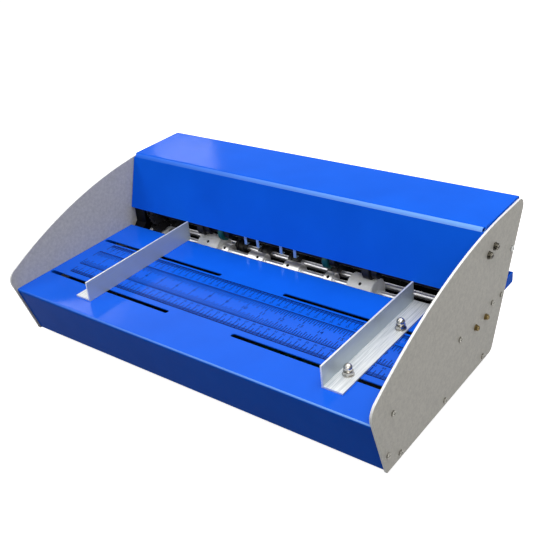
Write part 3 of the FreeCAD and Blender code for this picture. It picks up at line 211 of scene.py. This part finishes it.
def brushedAluminium():
    # extruded aluminium, brushed along its length: the foot is painted bright as if lit,
    # the upright leg darker with painted shade and a painted blue reflection, and the rear end darker with
    # painted shade
    material, tree, shader, coords = startMaterial("brushedAluminium", {"Metallic": guideMetal["bare"]})
    grain = guideMetal["grain"]
    place = addNode(tree, "ShaderNodeMapping", {
        "Scale": (1 / grain, guideMetal["stretch"] / grain, 1 / grain)}, {"Vector": coords.outputs["Object"]})
    lines = addNode(tree, "ShaderNodeTexNoise", {"Scale": 1.0, "Detail": 3.0}, {"Vector": place.outputs[0]})
    facing = addNode(tree, "ShaderNodeSeparateXYZ", None, {"Vector": coords.outputs["Normal"]})
    sideways = addNode(tree, "ShaderNodeMath", {"operation": "ABSOLUTE"}, {0: facing.outputs["X"]})
    # painted light by facing: the upward foot lit, the upright leg shaded
    side = addNode(tree, "ShaderNodeMix", {
        "data_type": "RGBA", 6: linear(guideMetal["foot"]), 7: linear(guideMetal["leg"])},
        {0: sideways.outputs[0]})
    where = addNode(tree, "ShaderNodeSeparateXYZ", None, {"Vector": coords.outputs["Object"]})
    # painted shade, darker towards the rear end
    paintedRearShade = addNode(tree, "ShaderNodeMapRange", {
        "From Min": guideLow.y, "From Max": guideHigh.y,
        "To Min": 0.0, "To Max": guideMetal["rearShade"]},
        {"Value": where.outputs["Y"]})
    streaks = addNode(tree, "ShaderNodeMapRange", {
        "From Min": 0.42, "From Max": 0.66, "To Min": 0.0, "To Max": guideMetal["streak"]},
        {"Value": lines.outputs[0]})
    # the brushed lines together with the painted rear shade
    shade = addNode(tree, "ShaderNodeMath", {"operation": "ADD"},
                    {0: paintedRearShade.outputs[0], 1: streaks.outputs[0]})
    tint = addNode(tree, "ShaderNodeMix", {"data_type": "RGBA", 7: linear(guideMetal["linesAndShade"])},
                   {0: shade.outputs[0], 6: side.outputs[2]})
    tree.links.new(tint.outputs[2], shader.inputs["Base Color"])
    patches = addNode(tree, "ShaderNodeTexNoise", {
        "Scale": 1 / guideMetal["patch"], "Detail": 4.0, "Roughness": 0.65},
        {"Vector": coords.outputs["Object"]})
    dull = addNode(tree, "ShaderNodeMapRange", {
        "From Min": 0.35, "From Max": 0.7, "To Min": guideMetal["bright"], "To Max": guideMetal["dull"]},
        {"Value": patches.outputs[0]})
    tree.links.new(dull.outputs[0], shader.inputs["Roughness"])
    skin = addNode(tree, "ShaderNodeBump", {"Strength": 0.3, "Distance": guideMetal["lineDepth"]},
                   {"Height": lines.outputs[0]})
    tree.links.new(skin.outputs[0], shader.inputs["Normal"])
    return material


drawnLines = {"stretch": 0.02, "depth": 0.02 * mm, "patch": 18 * mm}
# each grain is the width of a line, wider than real ones, so that the lines show
drawnMetals = {
    # anodised and milled: dark satin
    "blackAnodisedBlock": {"light": "2C2D30", "dark": "1E1F21", "rough": 0.36, "grain": 0.6 * mm},
    # a fine cut left bare: soft silver
    "turnedAluminium": {"light": "C9CBCE", "dark": "A9ACB0", "rough": 0.3, "grain": 0.3 * mm},
    # ground: bright, with hardly a line
    "groundSteel": {"light": "FFFFFF", "dark": "F8F8FA", "rough": 0.4, "grain": 0.2 * mm, "bare": 0.95,
                    "smudge": 0.05},
    # blackened for the upper pair and the finger bar: almost no glint
    "blackenedShaftSteel": {"light": "1C1C1E", "dark": "121214", "rough": 0.4, "grain": 0.2 * mm,
                            "bare": 0.4},
    # hardened and left black from the quench: dull, with little metal in it
    "blackenedToolSteel": {"light": "1A1A1C", "dark": "101012", "rough": 0.45, "grain": 0.25 * mm,
                           "bare": 0.3},
    # rolled strip, blued by tempering: pale blue, lined from end to end
    "blueSpringStrip": {"light": "B8D6E8", "dark": "8CB4D0", "rough": 0.28, "grain": 0.3 * mm, "bare": 0.4,
                        "along": "Z"},
}


def drawnMetal(name, light, dark, rough, grain, bare=1.0, smudge=0.08, along="X"):
    # drawn, ground or milled metal: fine lines along one axis, duller patches from handling
    material, tree, shader, coords = startMaterial(name, {"Metallic": bare})
    scale = [(drawnLines["stretch"] if axis == along else 1) / grain for axis in "XYZ"]
    place = addNode(tree, "ShaderNodeMapping", {"Scale": scale}, {"Vector": coords.outputs["Object"]})
    lines = addNode(tree, "ShaderNodeTexNoise", {"Scale": 1.0, "Detail": 3.0}, {"Vector": place.outputs[0]})
    tint = addNode(tree, "ShaderNodeValToRGB", {"ramp": [(0.3, dark), (0.7, light)]},
                   {"Fac": lines.outputs[0]})
    tree.links.new(tint.outputs[0], shader.inputs["Base Color"])
    patches = addNode(tree, "ShaderNodeTexNoise", {
        "Scale": 1 / drawnLines["patch"], "Detail": 4.0, "Roughness": 0.65},
        {"Vector": coords.outputs["Object"]})
    dull = addNode(tree, "ShaderNodeMapRange", {
        "From Min": 0.35, "From Max": 0.7, "To Min": rough, "To Max": rough + smudge},
        {"Value": patches.outputs[0]})
    tree.links.new(dull.outputs[0], shader.inputs["Roughness"])
    skin = addNode(tree, "ShaderNodeBump", {"Strength": 0.25, "Distance": drawnLines["depth"]},
                   {"Height": lines.outputs[0]})
    tree.links.new(skin.outputs[0], shader.inputs["Normal"])
    return material


plating = {"duller": 0.1, "fine": 0.4 * mm, "fineDepth": 0.01 * mm}
platedSteels = {
    # polished races: an even grey
    "bearingSteel": {"light": "C4C6C8", "clouded": "A7A9AC", "rough": 0.22, "spot": 4 * mm},
    # nickelled collars: the brightest metal on the machine
    "brightNickelPlate": {"light": "FFFFFD", "clouded": "FAF8F4", "rough": 0.4, "spot": 2 * mm, "bare": 0.9},
    # nickelled nuts and washers, dulled by fingers
    "dullNickelPlate": {"light": "DDDBD6", "clouded": "A8A49C", "rough": 0.2, "spot": 1.5 * mm},
    # zinc plate: a cool, uneven grey
    "zincPlate": {"light": "C2C2BE", "clouded": "989A9B", "rough": 0.3, "spot": 1.5 * mm},
    # yellow passivated zinc, gone brown: a dull brass
    "yellowZincPlate": {"light": "8E7A50", "clouded": "50472F", "rough": 0.36, "spot": 1.0 * mm},
    # black oxide: a soft oily black
    "blackOxide": {"light": "18181A", "clouded": "0E0E10", "rough": 0.42, "spot": 1.5 * mm, "bare": 0.4},
}


def platedSteel(name, light, clouded, rough, spot, bare=1.0):
    # plated or blackened steel: bright, clouded where the bath left it uneven
    material, tree, shader, coords = startMaterial(name, {"Metallic": bare})
    cloud = addNode(tree, "ShaderNodeTexNoise", {"Scale": 1 / spot, "Detail": 3.0, "Roughness": 0.6},
                    {"Vector": coords.outputs["Object"]})
    tint = addNode(tree, "ShaderNodeValToRGB", {"ramp": [(0.38, clouded), (0.64, light)]},
                   {"Fac": cloud.outputs[0]})
    tree.links.new(tint.outputs[0], shader.inputs["Base Color"])
    dull = addNode(tree, "ShaderNodeMapRange", {
        "From Min": 0.3, "From Max": 0.7, "To Min": rough + plating["duller"], "To Max": rough},
        {"Value": cloud.outputs[0]})
    tree.links.new(dull.outputs[0], shader.inputs["Roughness"])
    fine = addNode(tree, "ShaderNodeTexNoise", {"Scale": 1 / plating["fine"], "Detail": 2.0},
                   {"Vector": coords.outputs["Object"]})
    skin = addNode(tree, "ShaderNodeBump", {"Strength": 0.15, "Distance": plating["fineDepth"]},
                   {"Height": fine.outputs[0]})
    tree.links.new(skin.outputs[0], shader.inputs["Normal"])
    return material


plateScrews = {"zinc": "A3A199", "zincCloud": "66645E", "worn": "8E897C", "black": "1C1A16",
               "spot": 1.5 * mm, "bright": 0.3, "dull": 0.42, "belowSwitch": 5 * mm}


def plateScrewSteel():
    # zinc-plated pan heads; the pair that holds the cover switch, higher up, is blackened
    material, tree, shader, coords = startMaterial("plateScrewSteel", {"Metallic": 1.0})
    place = addNode(tree, "ShaderNodeSeparateXYZ", None, {"Vector": coords.outputs["Object"]})
    high = addNode(tree, "ShaderNodeMath", {
        "operation": "GREATER_THAN", 1: switchLow.z - plateScrews["belowSwitch"]}, {0: place.outputs["Z"]})
    cloud = addNode(tree, "ShaderNodeTexNoise", {
        "Scale": 1 / plateScrews["spot"], "Detail": 3.0, "Roughness": 0.6},
        {"Vector": coords.outputs["Object"]})
    zinc = addNode(tree, "ShaderNodeValToRGB", {
        "ramp": [(0.38, plateScrews["zincCloud"]), (0.64, plateScrews["zinc"])]}, {"Fac": cloud.outputs[0]})
    worn = addNode(tree, "ShaderNodeValToRGB", {
        "ramp": [(0.46, plateScrews["black"]), (0.62, plateScrews["worn"])]}, {"Fac": cloud.outputs[0]})
    tint = addNode(tree, "ShaderNodeMix", {"data_type": "RGBA"},
                   {0: high.outputs[0], 6: zinc.outputs[0], 7: worn.outputs[0]})
    tree.links.new(tint.outputs[2], shader.inputs["Base Color"])
    dull = addNode(tree, "ShaderNodeMapRange", {
        "From Min": 0.3, "From Max": 0.7, "To Min": plateScrews["dull"], "To Max": plateScrews["bright"]},
        {"Value": cloud.outputs[0]})
    tree.links.new(dull.outputs[0], shader.inputs["Roughness"])
    return material


moulding = {"cloud": 9 * mm, "wornDuller": 0.12}
# each grain is the skin's, coarser than real ones, so that it shows
mouldings = {
    # stoved enamel: dull and even
    "blackBaseEnamel": {"colour": "141416", "worn": "1C1C1F", "rough": 0.5, "grain": 1.0 * mm,
                        "depth": 0.04 * mm},
    # moulded rubber: matt, a little dusty
    "blackRubber": {"colour": "111113", "worn": "1A1A1D", "rough": 0.55, "grain": 0.5 * mm,
                    "depth": 0.05 * mm},
    # cast polyurethane: deep green with a slight wet look
    "greenUrethane": {"colour": "0A544E", "worn": "13645C", "rough": 0.35, "grain": 0.8 * mm,
                      "depth": 0.03 * mm},
    # moulded belt: milky white
    "whiteBeltUrethane": {"colour": "D2D2CE", "worn": "EAEAE6", "rough": 0.4, "grain": 0.6 * mm,
                          "depth": 0.02 * mm},
    # filled nylon gears: black, satin
    "blackGearNylon": {"colour": "161618", "worn": "222225", "rough": 0.45, "grain": 0.6 * mm,
                       "depth": 0.03 * mm},
    # pressed felt: the mattest black
    "blackFilterFelt": {"colour": "0C0C0D", "worn": "131315", "rough": 0.85, "grain": 0.3 * mm,
                        "depth": 0.1 * mm},
    # injection-moulded ABS with a fine spark texture
    "blackMouldedPlastic": {"colour": "161618", "worn": "202022", "rough": 0.45, "grain": 0.45 * mm,
                            "depth": 0.03 * mm},
    # injection-moulded, smooth and clear red
    "redMouldedPlastic": {"colour": "9A1212", "worn": "AC1C16", "rough": 0.3, "grain": 0.7 * mm,
                          "depth": 0.02 * mm},
    # sprayed over the motor's case: black with a slight sheen
    "blackMotorPaint": {"colour": "1E1E20", "worn": "2A2A2D", "rough": 0.4, "grain": 0.8 * mm,
                        "depth": 0.03 * mm},
}


def mouldedPlastic(name, colour, worn, rough, grain, depth):
    # moulded plastic, cast rubber or enamel: a fine skin from the tool, paler where it is handled
    material, tree, shader, coords = startMaterial(name, {"IOR": 1.49, "Specular IOR Level": 0.4})
    cloud = addNode(tree, "ShaderNodeTexNoise", {
        "Scale": 1 / moulding["cloud"], "Detail": 4.0, "Roughness": 0.6},
        {"Vector": coords.outputs["Object"]})
    tint = addNode(tree, "ShaderNodeValToRGB", {"ramp": [(0.35, colour), (0.75, worn)]},
                   {"Fac": cloud.outputs[0]})
    tree.links.new(tint.outputs[0], shader.inputs["Base Color"])
    dull = addNode(tree, "ShaderNodeMapRange", {
        "From Min": 0.3, "From Max": 0.7, "To Min": rough, "To Max": rough + moulding["wornDuller"]},
        {"Value": cloud.outputs[0]})
    tree.links.new(dull.outputs[0], shader.inputs["Roughness"])
    fine = addNode(tree, "ShaderNodeTexNoise", {"Scale": 1 / grain, "Detail": 2.0},
                   {"Vector": coords.outputs["Object"]})
    skin = addNode(tree, "ShaderNodeBump", {"Strength": 0.4, "Distance": depth}, {"Height": fine.outputs[0]})
    tree.links.new(skin.outputs[0], shader.inputs["Normal"])
    return material


nylon = {"soiled": "EDEDE8", "clean": "FCFCF8", "soil": 12 * mm, "ring": 1.1 * mm, "ringDepth": 0.05 * mm,
         "milky": 0.05, "lightReach": 2 * mm}


def turnedNylon():
    # cast nylon turned on a lathe: milky and waxy, with faint rings from the tool and light soiling
    material, tree, shader, coords = startMaterial("turnedNylon", {
        "Roughness": 0.4, "IOR": 1.53, "Subsurface Weight": nylon["milky"],
        "Subsurface Scale": nylon["lightReach"], "Subsurface Radius": (1.0, 0.9, 0.8)})
    soil = addNode(tree, "ShaderNodeTexNoise", {"Scale": 1 / nylon["soil"], "Detail": 5.0, "Roughness": 0.7},
                   {"Vector": coords.outputs["Object"]})
    tint = addNode(tree, "ShaderNodeValToRGB", {"ramp": [(0.3, nylon["soiled"]), (0.6, nylon["clean"])]},
                   {"Fac": soil.outputs[0]})
    tree.links.new(tint.outputs[0], shader.inputs["Base Color"])
    place = addNode(tree, "ShaderNodeMapping", {"Scale": (1 / nylon["ring"], 2.0, 2.0)},
                    {"Vector": coords.outputs["Object"]})
    rings = addNode(tree, "ShaderNodeTexNoise", {"Scale": 1.0, "Detail": 2.0}, {"Vector": place.outputs[0]})
    skin = addNode(tree, "ShaderNodeBump", {"Strength": 0.35, "Distance": nylon["ringDepth"]},
                   {"Height": rings.outputs[0]})
    tree.links.new(skin.outputs[0], shader.inputs["Normal"])
    return material


board = {"mask": "0E5A2C", "shade": "0B4A26", "track": "16703A", "trackWidth": 0.03, "pitch": 12 * mm}


def circuitBoard():
    # green solder mask over copper tracks that show as a paler grid
    material, tree, shader, coords = startMaterial("circuitBoard", {"Roughness": 0.35, "IOR": 1.5})
    tracks = addNode(tree, "ShaderNodeTexBrick", {
        "Scale": 1 / board["pitch"], "Color1": linear(board["mask"]), "Color2": linear(board["shade"]),
        "Mortar": linear(board["track"]), "Mortar Size": board["trackWidth"]},
        {"Vector": coords.outputs["Object"]})
    tree.links.new(tracks.outputs[0], shader.inputs["Base Color"])
    return material


inkPatch = 3 * mm
inks = {
    "darkBlueInk": {"colour": "05164E", "thin": "061C5C"},  # the rule: navy on the blue coat
    "darkGreyInk": {"colour": "2A2A2C", "thin": "3A3A3C"},  # the controls' marks: nearly black on grey
}


def printInk(name, colour, thin):
    # screen-printed ink: a thin film, a little uneven where the squeegee passed
    material, tree, shader, coords = startMaterial(name, {
        "Roughness": 0.3, "IOR": 1.45, "Specular IOR Level": 0.05})
    patchy = addNode(tree, "ShaderNodeTexNoise", {"Scale": 1 / inkPatch, "Detail": 3.0},
                     {"Vector": coords.outputs["Object"]})
    tint = addNode(tree, "ShaderNodeValToRGB", {"ramp": [(0.3, colour), (0.75, thin)]},
                   {"Fac": patchy.outputs[0]})
    tree.links.new(tint.outputs[0], shader.inputs["Base Color"])
    return material


finishes = {}
for maker, looks in ((bluePowderCoat, blueCoats), (drawnMetal, drawnMetals), (platedSteel, platedSteels),
                     (mouldedPlastic, mouldings), (printInk, inks)):
    for name, look in looks.items():
        finishes[name] = maker(name, **look)
finishes.update({
    "greyPowderCoat": greyPowderCoat(),
    "brushedAluminium": brushedAluminium(),
    "plateScrewSteel": plateScrewSteel(),
    "turnedNylon": turnedNylon(),
    "circuitBoard": circuitBoard(),
})

nodeFinish = {
    "bluePowderCoatPolished": ["feed_table"],
    "bluePowderCoat": ["output_tray", "top_cover"],
    "bluePowderCoatPrimedInside": ["rear_panel"],
    "greyPowderCoat": ["right_side_plate", "left_side_plate"],
    "blackBaseEnamel": ["base_pan"],
    "brushedAluminium": ["left_guide", "right_guide"],
    "blackAnodisedBlock": ["left_bearing_block", "right_bearing_block"],
    "turnedAluminium": ["front_pulley", "motor_pulley"],
    "groundSteel": ["lower_front_shaft", "lower_rear_shaft", "idler_pin"],
    "blackenedShaftSteel": ["upper_front_shaft", "upper_rear_shaft", "finger_bar"],
    "bearingSteel": ["shaft_bearings"],
    "blackenedToolSteel": ["anvil_rings", "crease_blades"],
    "brightNickelPlate": ["narrow_collars", "wide_collars"],
    "dullNickelPlate": ["left_guide_clamps", "right_guide_clamps"],
    "zincPlate": ["hinge_screws", "motor_bracket", "motor_screws", "speed_pot", "foot_screws"],
    "plateScrewSteel": ["plate_screws_right", "plate_screws_left"],
    "yellowZincPlate": ["bearing_bolts", "board_standoffs"],
    "blackOxide": ["set_screws", "upper_collars", "blade_hubs"],
    "blueSpringStrip": ["paper_fingers"],
    "turnedNylon": ["feed_rollers"],
    "blackRubber": ["press_wheels", "rubber_feet", "cover_rests"],
    "whiteBeltUrethane": ["drive_belt"],
    "greenUrethane": ["green_rings"],
    "blackGearNylon": ["front_shaft_gears", "rear_shaft_gears", "upper_front_gear", "upper_rear_gear",
                       "idler_gear"],
    "blackMouldedPlastic": ["power_inlet", "switch_housing", "speed_knob", "interlock_switch"],
    "redMouldedPlastic": ["power_rocker", "interlock_plunger"],
    "circuitBoard": ["control_board"],
    "blackMotorPaint": ["gear_motor"],
}
for finish, names in nodeFinish.items():
    for name in names:
        mesh = nodes[name].data
        mesh.materials.clear()
        mesh.materials.append(finishes[finish])
print("materials set on", sum(len(names) for names in nodeFinish.values()), "nodes")


def newPiece(name, bm, finish, body):
    bmesh.ops.recalc_face_normals(bm, faces=bm.faces)
    mesh = bpy.data.meshes.new(name)
    bm.to_mesh(mesh)
    bm.free()
    mesh.materials.append(finishes[finish])
    piece = bpy.data.objects.new(name, mesh)
    bpy.context.scene.collection.objects.link(piece)
    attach(piece, body)


def slab(bm, low, high):
    # a thin closed block between two corners
    size = Vector(high) - Vector(low)
    middle = (Vector(high) + Vector(low)) / 2
    bmesh.ops.create_cube(bm, size=1.0, matrix=Matrix.Translation(middle) @ Matrix.Diagonal((*size, 1.0)))


lettering = {"curveSteps": 3, "weld": 0.0001 * mm}


def addText(bm, words, size, thick, place):
    # figures as a thin solid, centred on their place and facing its +Z
    curve = bpy.data.curves.new("figures", "FONT")
    curve.body = words
    curve.size = size
    curve.extrude = thick / 2
    curve.align_x = "CENTER"
    curve.align_y = "CENTER"
    curve.resolution_u = lettering["curveSteps"]
    holder = bpy.data.objects.new("figures", curve)
    bpy.context.scene.collection.objects.link(holder)
    bpy.context.view_layer.update()
    mesh = bpy.data.meshes.new_from_object(holder)
    bpy.data.objects.remove(holder)
    mesh.transform(place)
    part = bmesh.new()
    part.from_mesh(mesh)
    bmesh.ops.remove_doubles(part, verts=part.verts, dist=lettering["weld"])
    part.to_mesh(mesh)
    part.free()
    bm.from_mesh(mesh)


rule = {"beforeGuides": 8.5 * mm, "ink": 0.05 * mm, "tickWidth": 0.85 * mm, "fineWidth": 0.5 * mm,
        "lineWidth": 1.0 * mm}
inch = 25.4 * mm
# left is the first tick's place from the table's middle
# lengths: one tick in so many has this length from the row's line, the longest first
metricScale = {"left": -225.1 * mm, "pitch": 1 * mm, "count": 450,
               "lengths": ((10, 13.0 * mm), (5, 9.2 * mm), (1, 5.2 * mm))}
inchScale = {"left": -229.6 * mm, "pitch": inch / 16, "count": 288,
             "lengths": ((16, 13.0 * mm), (8, 11.5 * mm), (4, 10.0 * mm), (2, 8.0 * mm), (1, 3.2 * mm))}
# each row's ticks stand rearward (1) or forward (-1) of its line
ruleRows = [
    {"y": 47.6 * mm, "way": 1, "scale": metricScale, "figureY": 63.4 * mm, "figureSize": 4.4 * mm},
    {"y": 67.6 * mm, "way": 1, "scale": inchScale, "figureY": 85.2 * mm, "figureSize": 7.5 * mm},
    {"y": 102.8 * mm, "way": -1, "scale": inchScale, "figureY": None},
    {"y": 122.6 * mm, "way": -1, "scale": metricScale, "figureY": 107.2 * mm, "figureSize": 4.4 * mm},
]


def tableRule():
    # centimetres along the outer edges and inches within, set out from the plates' bottom front corner
    footY = guideLow.y - rule["beforeGuides"]
    low, top = tableTop - rule["ink"] / 3, tableTop + rule["ink"]
    ticks, figures = bmesh.new(), bmesh.new()
    for row in ruleRows:
        scale = row["scale"]
        y, left = footY + row["y"], middleX + scale["left"]
        right = left + scale["pitch"] * scale["count"]
        slab(ticks, (left, y - rule["lineWidth"] / 2, low), (right, y + rule["lineWidth"] / 2, top))
        longest = scale["lengths"][0][0]
        for i in range(scale["count"] + 1):
            x = left + i * scale["pitch"]
            every, length = next(step for step in scale["lengths"] if i % step[0] == 0)
            width = rule["fineWidth"] if every == 1 else rule["tickWidth"]
            front, rear = sorted((y, y + row["way"] * length))
            slab(ticks, (x - width / 2, front, low), (x + width / 2, rear, top))
            if row["figureY"] and i % longest == 0 and 0 < i < scale["count"]:
                addText(figures, str(i // longest), row["figureSize"], rule["ink"],
                        Matrix.Translation((x, footY + row["figureY"], top)))
    newPiece("ruleTicks", ticks, "darkBlueInk", "chassis")
    newPiece("ruleFigures", figures, "darkBlueInk", "chassis")


tableRule()
print("table rule printed")

# lettering on the left plate's outer face is read from the left, where -Y is to the right
leftFaceTurn = Matrix.Rotation(math.radians(-90), 4, "Z") @ Matrix.Rotation(math.radians(90), 4, "X")
dial = {"radius": 19.5 * mm, "figureSize": 5.0 * mm, "ink": 0.06 * mm, "start": 225.0, "sweep": 270.0,
        "steps": 9, "tickFrom": 14.5 * mm, "tickLength": 2.2 * mm, "tickWidth": 0.6 * mm}


def knobDial():
    # figures and ticks round the speed control
    centre = Vector((leftPlateLow.x, (knobLow.y + knobHigh.y) / 2, (knobLow.z + knobHigh.z) / 2))
    figures = bmesh.new()
    for i in range(dial["steps"] + 1):
        angle = math.radians(dial["start"] - i * dial["sweep"] / dial["steps"])
        outward = Vector((0, -math.cos(angle), math.sin(angle)))
        place = centre + outward * dial["radius"] - Vector((dial["ink"] / 2, 0, 0))
        addText(figures, str(i), dial["figureSize"], dial["ink"], Matrix.Translation(place) @ leftFaceTurn)
        tickMiddle = dial["tickFrom"] + dial["tickLength"] / 2
        place = centre + outward * tickMiddle - Vector((dial["ink"] / 4, 0, 0))
        lean = Matrix.Rotation(math.atan2(outward.z, outward.y), 4, "X")
        size = Matrix.Diagonal((dial["ink"], dial["tickLength"], dial["tickWidth"], 1.0))
        bmesh.ops.create_cube(figures, size=1.0, matrix=Matrix.Translation(place) @ lean @ size)
    newPiece("dialFigures", figures, "darkGreyInk", "chassis")


switchMarks = {"size": 5.0 * mm, "ink": 0.06 * mm, "apart": 9 * mm, "rise": 16.5 * mm}


def switchWords():
    # ON and OFF above the rocker's two ends
    centre = Vector((leftPlateLow.x, (rockerLow.y + rockerHigh.y) / 2, (rockerLow.z + rockerHigh.z) / 2))
    words = bmesh.new()
    for word, side in (("ON", -1), ("OFF", 1)):
        place = centre + Vector((-switchMarks["ink"] / 2, side * switchMarks["apart"], switchMarks["rise"]))
        addText(words, word, switchMarks["size"], switchMarks["ink"],
                Matrix.Translation(place) @ leftFaceTurn)
    newPiece("switchWords", words, "darkGreyInk", "chassis")


knobDial()
switchWords()
print("controls marked")

ventFilter = {"pleats": 94, "pitch": 3.0 * mm, "depth": 2.0 * mm, "felt": 0.5 * mm, "gap": 0.3 * mm,
              "low": 28.0 * mm, "high": 54.0 * mm, "lean": 26.1}


def pleatedFilter():
    # dust filter inside the rear panel, over its vents: pleated felt that follows the panel's lean
    lean = math.radians(ventFilter["lean"])
    inward = Vector((0, -math.cos(lean), math.sin(lean)))
    along = Vector((0, math.sin(lean), math.cos(lean)))
    # the panel's flat inner face is its largest face that looks inward
    panel = max((face for face in nodes["rear_panel"].data.polygons if face.normal.dot(inward) > 0.99),
                key=lambda face: face.area)
    low, high, pleats = ventFilter["low"], ventFilter["high"], ventFilter["pleats"]
    height = (high - low) / math.cos(lean)
    foot = Vector((middleX, panel.center.y + (low - panel.center.z) * math.tan(lean), low))
    bm = bmesh.new()
    bmesh.ops.create_grid(bm, x_segments=pleats, y_segments=1, size=0.5)
    # every other row across the strip is lifted to a crease, and the folded strip then gets its thickness
    creases = [v for v in bm.verts if round((v.co.x + 0.5) * pleats) % 2]
    bmesh.ops.scale(bm, vec=(pleats * ventFilter["pitch"], height, 1), verts=bm.verts)
    bmesh.ops.translate(bm, vec=(0, 0, ventFilter["depth"]), verts=creases)
    grown = bmesh.ops.extrude_face_region(bm, geom=bm.faces[:])
    bmesh.ops.translate(bm, vec=(0, 0, ventFilter["felt"]),
                        verts=[v for v in grown["geom"] if isinstance(v, bmesh.types.BMVert)])
    middle = foot + along * height / 2 + inward * ventFilter["gap"]
    tilt = Matrix.Rotation(math.radians(90) - lean, 4, "X")
    bmesh.ops.transform(bm, matrix=Matrix.Translation(middle) @ tilt, verts=bm.verts)
    newPiece("ventFilter", bm, "blackFilterFelt", "chassis")


pleatedFilter()
print("vent filter made")

studio = {"floorSize": 30.0, "floorGlow": 0.84, "floorShade": "DADADA", "floorBounce": "2C2C2E",
          "room": "FFFFFF", "dome": 0.19, "aim": (0, 0, 0.07)}


def seenDirectly(tree):
    # 1 for rays that show the studio as it looks: straight, mirrored or through something clear
    rays = addNode(tree, "ShaderNodeLightPath")
    mirrored = addNode(tree, "ShaderNodeMath", {"operation": "MAXIMUM"},
                       {0: rays.outputs["Is Camera Ray"], 1: rays.outputs["Is Glossy Ray"]})
    return addNode(tree, "ShaderNodeMath", {"operation": "MAXIMUM"},
                   {0: mirrored.outputs[0], 1: rays.outputs["Is Transmission Ray"]}).outputs[0]


def paleFloor():
    # the floor looks white but for the machine's shadow, and throws little light back up at it
    bm = bmesh.new()
    bmesh.ops.create_grid(bm, x_segments=1, y_segments=1, size=studio["floorSize"])
    mesh = bpy.data.meshes.new("floor")
    bm.to_mesh(mesh)
    bm.free()
    material = bpy.data.materials.new("paleFloor")
    material.use_nodes = True
    tree = material.node_tree
    tree.nodes.clear()
    glow = addNode(tree, "ShaderNodeEmission", {"Strength": studio["floorGlow"]})
    shade = addNode(tree, "ShaderNodeBsdfDiffuse", {"Color": linear(studio["floorShade"])})
    pale = addNode(tree, "ShaderNodeAddShader", None, {0: glow.outputs[0], 1: shade.outputs[0]})
    dark = addNode(tree, "ShaderNodeBsdfDiffuse", {"Color": linear(studio["floorBounce"])})
    mix = addNode(tree, "ShaderNodeMixShader", None,
                  {0: seenDirectly(tree), 1: dark.outputs[0], 2: pale.outputs[0]})
    addNode(tree, "ShaderNodeOutputMaterial", None, {"Surface": mix.outputs[0]})
    mesh.materials.append(material)
    floor = bpy.data.objects.new("floor", mesh)
    bpy.context.scene.collection.objects.link(floor)


def worldLight():
    # a white room to look at, which lights the machine only as a dim even dome
    world = bpy.data.worlds.new("studio")
    bpy.context.scene.world = world
    world.use_nodes = True
    tree = world.node_tree
    tree.nodes.clear()
    room = addNode(tree, "ShaderNodeBackground", {"Color": linear(studio["room"])})
    dome = addNode(tree, "ShaderNodeBackground", {
        "Color": linear(studio["room"]), "Strength": studio["dome"]})
    mix = addNode(tree, "ShaderNodeMixShader", None,
                  {0: seenDirectly(tree), 1: dome.outputs[0], 2: room.outputs[0]})
    addNode(tree, "ShaderNodeOutputWorld", None, {"Surface": mix.outputs[0]})


lamps = {
    "keySoftbox": {"place": (0.32, 0.15, 1.55), "size": (1.4, 1.4), "power": 18.6},
    "frontLeftSoftbox": {"place": (-0.78, -0.76, 0.8), "size": (0.4, 0.4), "power": 3.0},
    "frontRightSoftbox": {"place": (0.88, -1.0, 0.98), "size": (0.6, 0.6), "power": 5.0},
    "rightSoftbox": {"place": (2.2, -0.15, 0.75), "size": (1.2, 1.2), "power": 7.0},
    "rearLeftSoftbox": {"place": (-1.01, 0.92, 0.64), "size": (0.16, 0.16), "power": 0.45},
    "leftSoftbox": {"place": (-1.5, 0.45, 0.55), "size": (0.8, 0.8), "power": 5.0},
}


def softLights():
    # all of them face the middle of the machine
    target = Vector(studio["aim"])
    for name, lamp in lamps.items():
        data = bpy.data.lights.new(name, "AREA")
        data.shape = "RECTANGLE"
        data.size, data.size_y = lamp["size"]
        data.energy = lamp["power"]
        holder = bpy.data.objects.new(name, data)
        place = Vector(lamp["place"])
        turn = (target - place).to_track_quat("-Z", "Y").to_matrix().to_4x4()
        holder.matrix_world = Matrix.Translation(place) @ turn
        bpy.context.scene.collection.objects.link(holder)


# the viewpoint shows the machine from its front right, looking down at it
camera = {"place": (0.5642, -0.6368, 0.5575), "azimuth": 40.38, "elevation": 28.81, "roll": -6.31,
          "lens": 56.4, "sensor": 36.0}


def addCamera():
    data = bpy.data.cameras.new("camera")
    data.sensor_width = camera["sensor"]
    data.lens = camera["lens"]
    holder = bpy.data.objects.new("camera", data)
    turn = (Matrix.Rotation(math.radians(camera["azimuth"]), 4, "Z")
            @ Matrix.Rotation(math.radians(90 - camera["elevation"]), 4, "X")
            @ Matrix.Rotation(math.radians(camera["roll"]), 4, "Z"))
    holder.matrix_world = Matrix.Translation(camera["place"]) @ turn
    bpy.context.scene.collection.objects.link(holder)
    bpy.context.scene.camera = holder


paleFloor()
worldLight()
softLights()
addCamera()
bpy.context.scene.view_settings.view_transform = "Standard"
print("stage, lights and camera placed")
